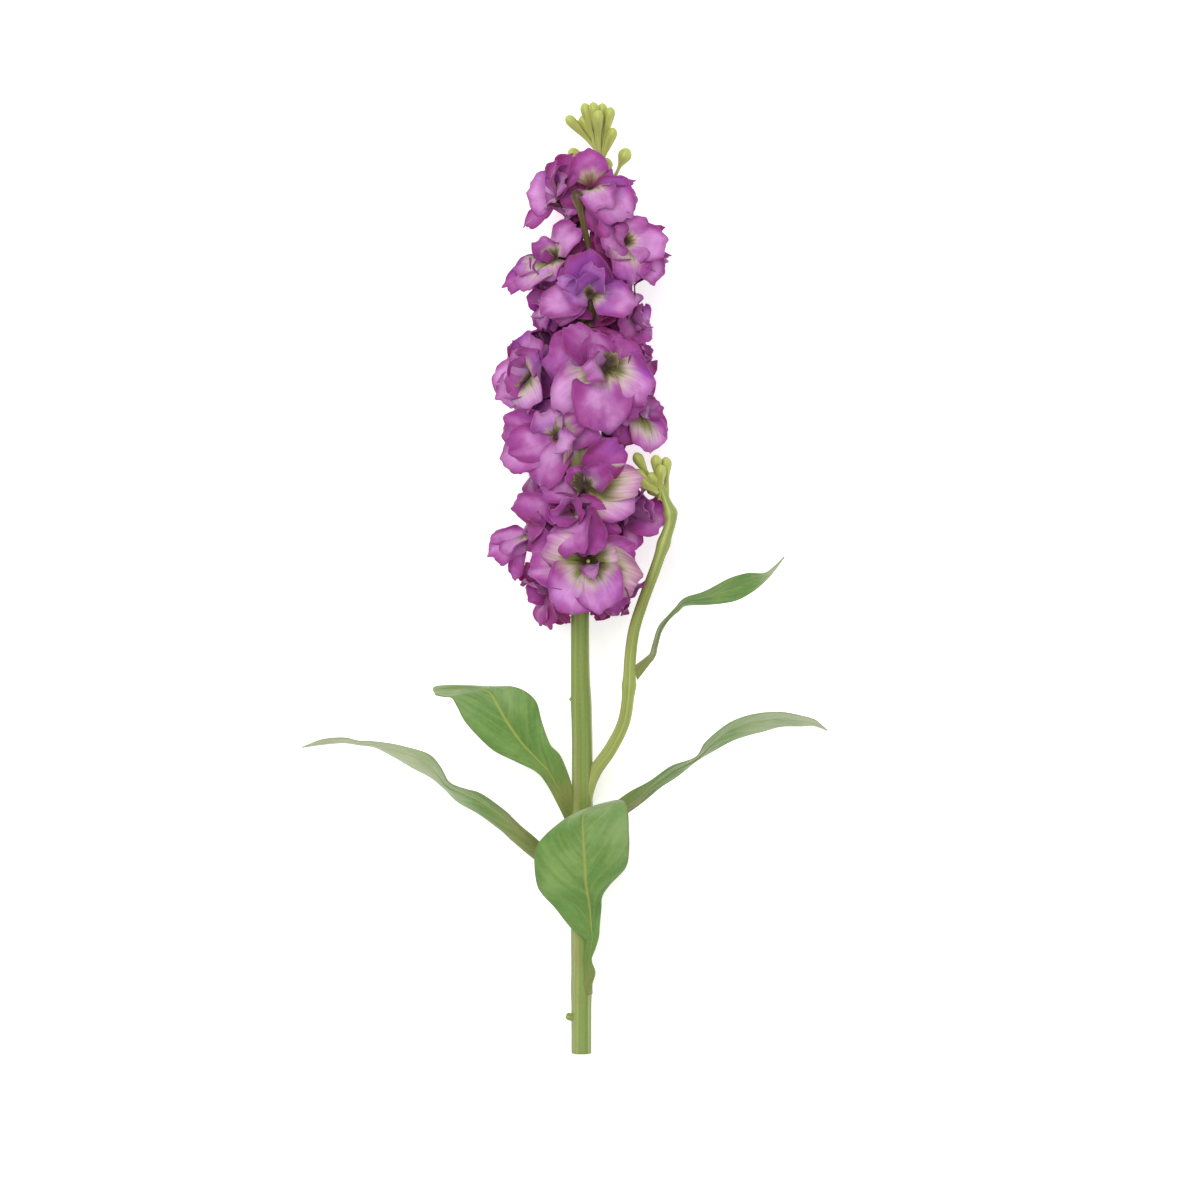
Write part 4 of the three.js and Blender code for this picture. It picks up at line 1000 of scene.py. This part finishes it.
def makeCalyces():
    mouth = throat - facing * (calyx["mouth"] - petals["sunk"])
    base = throat - facing * (calyx["mouth"] + calyx["share"] * floretOut)[:, None]
    root = stemAt(floretY - 3 - 0.15 * floretOut)
    shares = np.linspace(0, 1, calyx["rows"])
    centres = np.array([throughPoints([r, b, m], shares) for r, b, m in zip(root, base, mouth)])
    profile = np.interp(shares, [0, 0.42, 0.52, 0.62, 0.8, 0.93, 1.0], [1.1, 0.85, 1.0, 1.7, 2.2, 2.35, 2.15])
    w = 2 * math.pi * np.arange(calyx["columns"]) / calyx["columns"]
    groove = 1 + 0.1 * smooth((shares - 0.5) / 0.2)[:, None] * (np.abs(np.cos(calyx["sepals"] * w / 2)) - 0.6)
    radii = np.broadcast_to(profile[:, None] * groove, (floretCount, calyx["rows"], calyx["columns"]))
    rings = tubeRings(centres, radii, calyx["columns"], floretDown)
    behind = slice(len(throatPlaces), None)
    rings[behind] = tucked(rings[behind])
    rings[..., 2] = np.maximum(rings[..., 2], calyx["floor"])
    return addSheets("calyces", rings, calyxGreen, wrap=True, close=True)


finishPiece(makeCalyces(), "stem_green", "stem")


# Buds: clubs whose heads show the four folded sepals as shallow grooves. Each has its root, a
# point of the picture with its height or a y along the stem, and its tip.
topBuds = {
    "head": 2.2, "stalk": 0.8, "neck": 6.0,
    "places": [((600, 166, 27), tip) for tip in (
        (584, 103, 29), (593, 102, 31), (602.5, 103, 27), (611, 107, 30), (598, 110, 33), (606, 113, 24),
        (614, 128, 31), (589, 112, 23),
    )] + [((604, 158, 27), tip) for tip in ((566.5, 116, 28), (574, 121, 24.5), (581, 116, 26.5))],
}
looseBuds = {
    "head": 2.9, "stalk": 0.7, "neck": 3.0,
    "places": [(146, (628, 148.5, 30)), (148, (571, 148, 25)), (140, (607, 158, 17))],
}
# buds and old calyces deep in the head, between the florets
innerBuds = {
    "head": 2.6, "stalk": 1.2, "neck": 4.0,
    "places": [((592, 262, 38), (576, 190, 47.5)), (92, (590, 300, 45)), (88, (601, 309, 42)),
               (90, (581, 314, 41)), (96, (597, 296, 40)), (84, (590, 322, 43))],
}
shootBuds = {
    "head": 2.3, "stalk": 1.0, "neck": 4.2,
    "places": [
        ((660, 497, 37.5), (635, 453, 39)), ((660, 500, 37.5), (655.5, 455, 40)), ((667, 506, 37),
        (666, 457, 36)),
        ((657, 490, 40), (634, 470.5, 44)), ((658, 493, 41), (635.5, 479, 45.5)), ((660, 497, 38),
        (661, 465, 43)),
        ((658, 491, 38), (650, 473, 42)), ((660, 497, 36), (648, 486, 34)),
    ],
}


# radius along a bud: it widens from stalk to head by an eased step, and ends in a round cap
# sqrt(1 - w^2); four grooves |cos 2w| deepen towards its tip
def budRings(roots, tips, head, stalk, neck):
    long = np.linalg.norm(tips - roots, axis=-1)[:, None]
    nearTip = 0.7 + 0.3 * np.sin(np.linspace(0.05, 1, 18) * math.pi / 2)
    shares = np.concatenate([np.linspace(0, 0.7, 16), nearTip])
    sag = np.array([0, 0, -1.0]) * (4 * shares * (1 - shares))[:, None] * 0.04 * long[..., None]
    centres = roots[:, None] + (tips - roots)[:, None] * shares[:, None] + sag
    capLength = np.minimum(0.4, 1.3 * head / long)
    cap = np.sqrt(np.clip(1 - np.clip((shares - 1 + capLength) / capLength, 0, 1) ** 2, 0.03, 1))
    start = np.maximum(0.0, 1 - neck * head / long)
    radii = mix(stalk, head, smooth((shares - start) / (1 - start - 0.6 * capLength))) * cap
    w = 2 * math.pi * np.arange(20) / 20
    groove = 1 - 0.14 * smooth((shares - 0.6) / 0.35)[:, None] * (1 - np.abs(np.cos(2 * w))) ** 2
    return tubeRings(centres, radii[..., None] * groove, 20)


def makeBuds(name, spec, material, slotName, node):
    roots = np.array([stemAt(root) if np.isscalar(root) else onPicture(*root) for root, _ in spec["places"]])
    tips = np.array([onPicture(*tip) for _, tip in spec["places"]])
    rings = budRings(roots, tips, spec["head"], spec["stalk"], spec["neck"])
    return finishPiece(addSheets(name, rings, material, wrap=True, close=True), slotName, node)


makeBuds("top_buds_fine", topBuds, budGreen, "bud_green", "top_buds")
makeBuds("loose_buds", looseBuds, budGreen, "stem_green", "stem")
makeBuds("inner_buds", innerBuds, calyxGreen, "stem_green", "stem")
makeBuds("shoot_buds", shootBuds, budGreen, "bud_green", "side_shoot")
print("buds done")


# The side shoot
shoot = {
    "spine": (
        (7.2, -100, 14.6), (8.2, -90, 16.8), (9.8, -83, 17.8), (12.8, -76.6, 18.9), (18.6, -68.2, 20.8),
        (23.7, -57.5, 23), (25.6, -44.8, 25.5), (26.1, -32.8, 28), (27.7, -20.8, 30.5), (31.5, -8.8, 32.5),
        (36.0, 3.2, 34.2), (40.0, 15.2, 35.8), (42.4, 24, 37), (40.2, 31.6, 38), (37, 41, 38.4),
    ),
    "radius": (2.8, 2.2),
    "end": 1.1,  # radius at its very end
    "swellings": ((0.44, 0.22), (0.775, 0.25), (0.875, 0.32)),  # share along it, share by which it swells
}


def makeShoot():
    shares = np.linspace(0, 1, 180)
    radii = mix(*shoot["radius"], smooth(1.3 * shares))
    radii = mix(radii, shoot["end"], smooth((shares - 0.86) / 0.14))
    for at, share in shoot["swellings"]:
        radii = radii * (1 + share * np.exp(-(((shares - at) / 0.018) ** 2)))
    w = 2 * math.pi * np.arange(32) / 32
    ribs = 1 + 0.04 * np.cos(5 * w[None, :] + 3 * shares[:, None])
    rings = tubeRings(throughPoints(shoot["spine"], shares)[None], (radii[:, None] * ribs)[None], 32)
    return addSheets("shoot_stem", rings, shootGreen, wrap=True, close=True)


finishPiece(makeShoot(), "bud_green", "side_shoot")


# Leaves

# Each leaf is a row of stations from its root to its tip: the midrib, then the two edges, each
# as a point of the picture with its height; then the tints of the two edges, which paint the
# leaf's light and shade as well as its own paler and darker parts.
leaves = {
    "leaf_upper_left": (
        ((573, 815, 16), (576, 809, 17), (565, 820, 15.6), 0, 0),
        ((565, 799, 18), (572.4, 788, 19.6), (557.4, 804.4, 18.4), -0.3, 0),
        ((556, 785, 20), (569, 776, 22), (546.4, 784.2, 20.4), -0.4, 0),
        ((548, 771, 22.4), (560.6, 756, 25), (536, 772, 24), -0.2, 0.1),
        ((535, 757, 24.6), (550.4, 744.6, 28), (515, 761.3, 27.4), 0, 0.1),
        ((521, 742, 27), (542, 722, 30), (491.6, 749.2, 31), 0.1, 0),
        ((507, 722, 30), (537, 703, 32), (467, 724.4, 34), 0.1, 0.1),
        ((498, 706, 31.4), (528, 693, 32.6), (457.5, 707.5, 33), 0.2, 0.3),
        ((489, 692, 30.6), (513, 686.4, 31.4), (451, 697, 30.4), 0.3, 0.3),
        ((475, 688.5, 27), (491, 686, 27), (443, 696, 27), 0.3, 0.4),
        ((455, 688, 23.6), (460, 684.8, 23.6), (435.5, 694.6, 24), 0.3, 0.4),
        ((436.5, 689.5, 20.8), (439, 685.4, 21), (434.2, 692.6, 20.8), 0.4, 0.5),
        ((433, 688.5, 20.4), (433.4, 687, 20.4), (432.8, 690.5, 20.4), 0.4, 0.5),
    ),
    "leaf_long_left": (
        ((569.7, 878.3, 11), (570.2, 873.5, 12.4), (568.8, 883, 10.2), 0, 0),
        ((538, 850, 15.8), (539, 841, 17.6), (535, 860, 14), -0.4, 0.1),
        ((516, 830, 19.4), (515, 821, 23.6), (512, 841, 15.2), -0.7, 0.3),
        ((503, 818, 21.2), (503, 810, 26.6), (500, 830, 16), -0.7, 0.3),
        ((481, 802, 23.5), (481, 794.5, 30), (478.4, 814.2, 17), -0.4, 0.4),
        ((462, 793, 24.8), (465, 789.5, 31.6), (457.2, 802.2, 17.5), 0, 0.5),
        ((447, 785.5, 24.8), (449, 783, 29), (444.4, 789.5, 20), 0.4, 0.6),
        ((436, 772, 24.4), (439.5, 767, 30), (430, 777.5, 18), 0.5, 0.8),
        ((420, 760, 22.6), (428, 754.5, 28.6), (412, 768, 17.2), 0.4, 0.9),
        ((400, 752, 20), (405, 747, 25), (395, 758, 15), 0.7, 0.9),
        ((378, 745, 16.8), (380, 742.5, 20.6), (375, 748, 13), 0.8, 0.9),
        ((359, 743.5, 14), (359, 741.8, 16.8), (359, 745.5, 11.4), 0.9, 0.9),
        ((343, 741, 11.8), (343, 738.5, 14.8), (343, 743.4, 9), 0.9, 0.9),
        ((320, 743, 8), (320, 740.5, 10), (320, 745.4, 6.2), 1, 1),
        ((302, 748, 4.4), (302, 748, 4.4), (302, 748, 4.4), 1, 1),
    ),
    "leaf_long_right": (
        ((591.1, 830.5, 14.2), (589.6, 826.6, 15.2), (592, 834.6, 13.2), 0, 0),
        ((614, 817, 17), (607.5, 808.5, 18.6), (619, 819, 15.2), -0.3, -0.6),
        ((636, 801, 20.6), (628, 793.6, 24), (641, 804, 17), -0.2, -0.7),
        ((654, 785, 23), (649, 782.2, 27.4), (661, 787.5, 17.6), 0, -0.4),
        ((675, 770, 25), (672, 766.4, 30.4), (678, 776.5, 18.4), 0.3, 0.1),
        ((696, 759, 26.4), (696, 757.8, 30), (697, 761.5, 21.5), 0.5, 0.4),
        ((711, 745, 27), (706, 743, 32.6), (717, 749.4, 20), 0.4, 0.4),
        ((727, 732, 26.2), (724, 727.5, 33), (732, 741.2, 18.6), 0.5, 0.3),
        ((742, 725, 24.6), (740, 718.5, 31.6), (747, 736, 17.2), 0.6, 0.4),
        ((760, 721, 22), (760, 713.8, 28.6), (763, 732, 15), 0.7, 0.5),
        ((780, 719, 18), (780, 712.8, 23.6), (781, 727, 12), 0.7, 0.6),
        ((800, 721, 13.4), (801, 716.4, 18), (800, 726.6, 9.6), 0.8, 0.7),
        ((815, 723.5, 9), (816, 721, 12), (814, 726.4, 6.8), 0.9, 0.9),
        ((827, 731, 4.6), (827, 731, 4.6), (827, 731, 4.6), 1, 1),
    ),
    "leaf_front": (
        ((589, 994, 9.2), (588, 994, 9.2), (590, 994, 9.1), 0.2, 0.2),
        ((589, 984, 9.8), (584.5, 985, 9.8), (592.5, 984, 9.2), 0.2, 0.1),
        ((590.5, 974, 10.4), (585, 975, 10.2), (595.6, 972, 9.8), 0, 0.2),
        ((588.5, 961, 11), (584, 962, 11.2), (591.8, 960, 10.6), -0.4, 0),
        ((591, 950, 12), (585, 951, 12), (595.6, 949, 11.4), 0, 0.2),
        ((592, 938, 12.8), (584.5, 939, 13.2), (599, 937, 12.2), -0.2, 0.1),
        ((591.5, 926, 14), (571, 928, 14.6), (600, 925, 13.4), 0, -0.2),
        ((590, 905, 17.6), (555.5, 908.6, 18.4), (601.5, 908, 16.6), 0, -0.5),
        ((588, 893, 20.4), (543, 895.4, 21.4), (602.5, 896.5, 19.4), -0.2, -0.3),
        ((586, 880, 23), (537, 885, 24), (610, 885, 23), -0.2, 0.1),
        ((585, 865, 26.4), (534.5, 867, 26.6), (626, 867.5, 27.6), -0.1, 0.2),
        ((584, 850, 29.4), (535.5, 849, 29.6), (629.3, 848, 31.4), -0.1, 0.2),
        ((583, 832, 32.2), (544, 836, 32), (628.9, 830, 34), 0.1, 0.2),
        ((582.5, 819, 34), (561.5, 821, 33.6), (628.4, 814, 35), 0.4, 0.2),
        ((586, 811, 34), (573, 814, 33.6), (626, 803, 34.4), 0.7, 0.3),
        ((596, 805, 31), (586, 808.2, 31), (618, 799.6, 31), 0.7, 0.5),
        ((602, 803, 27), (602, 803, 27), (602, 803, 27), 0.6, 0.6),
    ),
    "leaf_shoot": (
        ((635, 673, 27.2), (633, 667, 28), (637.6, 680, 26.4), 0.2, 0),
        ((646, 662, 27.4), (643.5, 659.5, 28.6), (649.5, 664.5, 26.4), 0.4, 0.2),
        ((652.5, 655, 27.6), (651, 652.5, 29), (654.6, 657.5, 26), 0.6, 0.4),
        ((655.2, 645, 28), (655, 645, 30), (656.4, 645, 26.2), 0.6, 0.4),
        ((660.4, 628, 29), (661, 628.3, 31.6), (663.4, 629, 26.6), 0.4, 0.3),
        ((668.6, 617.6, 30), (668.3, 617.8, 33), (670.4, 619, 27), 0.2, 0.3),
        ((676.6, 608.6, 30.8), (676.2, 608.3, 34), (679, 611.5, 27.4), 0, 0.3),
        ((686, 601.5, 31.4), (685.4, 598.5, 35), (686.5, 606, 27.6), -0.1, 0.3),
        ((707, 597, 32), (706, 591.4, 36), (708, 605, 28), -0.2, 0.1),
        ((732, 589, 31.4), (730, 578.8, 35.4), (734, 601.4, 27.6), 0, 0),
        ((750, 582, 29.6), (748, 573.3, 33), (752, 592.4, 26.4), 0.1, 0.1),
        ((765, 576.5, 27), (764.5, 573, 29.4), (766, 581, 24.4), 0.5, 0.4),
        ((775, 568, 23.8), (774.4, 567.4, 25.4), (776, 569.6, 22.4), 0.8, 0.8),
        ((785, 557, 20), (785, 557, 20), (785, 557, 20), 1, 1),
    ),
}
leafShape = {"rows": 96, "columns": 33, "wave": 0.6, "quilt": 0.2, "bulge": 0.05, "sideVeins": 8,
             "wall": 0.55, "ribRadius": (1.5, 0.2)}


# A leaf's point is on the straight line from the midrib to an edge, at |v| of the way, raised
# halfway by the bulge 4|v|(1 - |v|), and lifted by a wave along its edges and by a quilted
# swelling between the side veins. Its tint, with its painted light and shade, goes the same way
# from one edge to the other.
def leafPoints(stations, seed, u, v):
    shape = onPicture(*np.moveaxis(np.array([station[:3] for station in stations], float), -1, 0))
    mid, first, second = (throughPoints(shape[:, i], u) for i in range(3))
    away = np.abs(v)[None, :, None]
    edge = np.where((v < 0)[None, :, None], first[:, None], second[:, None])
    points = mix(mid[:, None], edge, away)
    width = np.linalg.norm(first - second, axis=-1)[:, None]
    wide = smooth(width / 14)
    points[..., 2] += leafShape["bulge"] * width * 4 * np.abs(v) * (1 - np.abs(v))
    points[..., 2] += leafShape["wave"] * np.sin(19 * u[:, None] + 2.2 * v + seed) * v * v * wide
    ridge = np.cos(2 * math.pi * (leafShape["sideVeins"] * u[:, None] - 1.8 * np.abs(v / 2) ** 1.3 * 2))
    points[..., 2] -= leafShape["quilt"] * ridge * np.sin(math.pi * np.abs(v)) * wide
    tintsAndShading = throughPoints([station[3:] for station in stations], u)
    return points, mix(tintsAndShading[:, :1], tintsAndShading[:, 1:], (v + 1) / 2)


def makeLeaf(name, stations, seed):
    s = leafShape
    u = np.linspace(0, 1, s["rows"])
    v = np.linspace(-1, 1, s["columns"])
    points, tintsAndShading = leafPoints(stations, seed, u, v)
    du, dv = np.gradient(points, axis=0), np.gradient(points, axis=1)
    if np.cross(du, dv)[..., 2].mean() < 0:
        points, tintsAndShading = points[:, ::-1], tintsAndShading[:, ::-1]
    blade = addSheets(name + "_blade", points[None], leafTop, {"tintAndShading": tintsAndShading})
    blade.data.materials.append(leafUnder)
    thicken(blade, s["wall"], -1.0)
    finishPiece(blade, "leaf_green", name)
    # the midrib stands out below the blade, thick at the stalk and fading to the tip
    along = np.linspace(0, 0.93, 70)
    line = leafPoints(stations, seed, along, np.array([0.0]))[0][:, 0]
    radii = mix(*s["ribRadius"], smooth(1.3 * along))
    line[:, 2] -= radii + 0.3
    rib = addSheets(name + "_rib", tubeRings(line[None], radii[None], 14), leafUnder, wrap=True, close=True)
    return finishPiece(rib, "leaf_green", name)


for seed, (name, stations) in enumerate(leaves.items()):
    makeLeaf(name, stations, seed)
print("leaves:", len(leaves))


# The table, the lights and the camera
studio = {
    "table": srgb(0.97, 0.97, 0.965),
    "tableGlow": 0.5,
    "tableHalf": 4000.0,
    "aim": (0.01, 0.0, 0.03),
    "world": 0.42,
    "lights": (
        {"name": "key", "at": (-0.5, 0.65, 2.1), "size": 1.6, "power": 31.0},
        {"name": "fill", "at": (0.9, -0.5, 1.8), "size": 1.6, "power": 9.0},
    ),
}


def makeTable():
    side = np.array([-1, 1]) * studio["tableHalf"]
    points = np.stack([*np.meshgrid(side, side), np.zeros((2, 2))], axis=-1)[None]
    material = bpy.data.materials.new("table_pale")
    material.use_nodes = True
    shader = material.node_tree.nodes["Principled BSDF"]
    shader.inputs["Base Color"].default_value = studio["table"]
    shader.inputs["Roughness"].default_value = 0.9
    shader.inputs["Emission Color"].default_value = (1, 1, 1, 1)
    shader.inputs["Emission Strength"].default_value = studio["tableGlow"]
    table = addSheets("table", points, material)


def makeLights():
    for spec in studio["lights"]:
        data = bpy.data.lights.new(spec["name"], "AREA")
        data.shape = "DISK"
        data.size = spec["size"]
        data.energy = spec["power"]
        lamp = bpy.data.objects.new(spec["name"], data)
        lamp.location = spec["at"]
        direction = np.array(studio["aim"]) - np.array(spec["at"])
        lamp.rotation_mode = "QUATERNION"
        lamp.rotation_quaternion = Vector(direction).to_track_quat("-Z", "Y")
        scene.collection.objects.link(lamp)
    world = bpy.data.worlds.new("studio")
    world.use_nodes = True
    world.node_tree.nodes["Background"].inputs["Color"].default_value = (1, 1, 1, 1)
    world.node_tree.nodes["Background"].inputs["Strength"].default_value = studio["world"]
    scene.world = world
    scene.view_settings.view_transform = "Standard"


def makeCamera():
    data = bpy.data.cameras.new("above")
    data.lens = view["lens"]
    data.sensor_width = view["sensor"]
    data.clip_end = 20
    camera = bpy.data.objects.new("above", data)
    camera.location = [c * metre for c in view["eye"]]
    scene.collection.objects.link(camera)
    scene.camera = camera


makeTable()
makeLights()
makeCamera()
print("studio done")
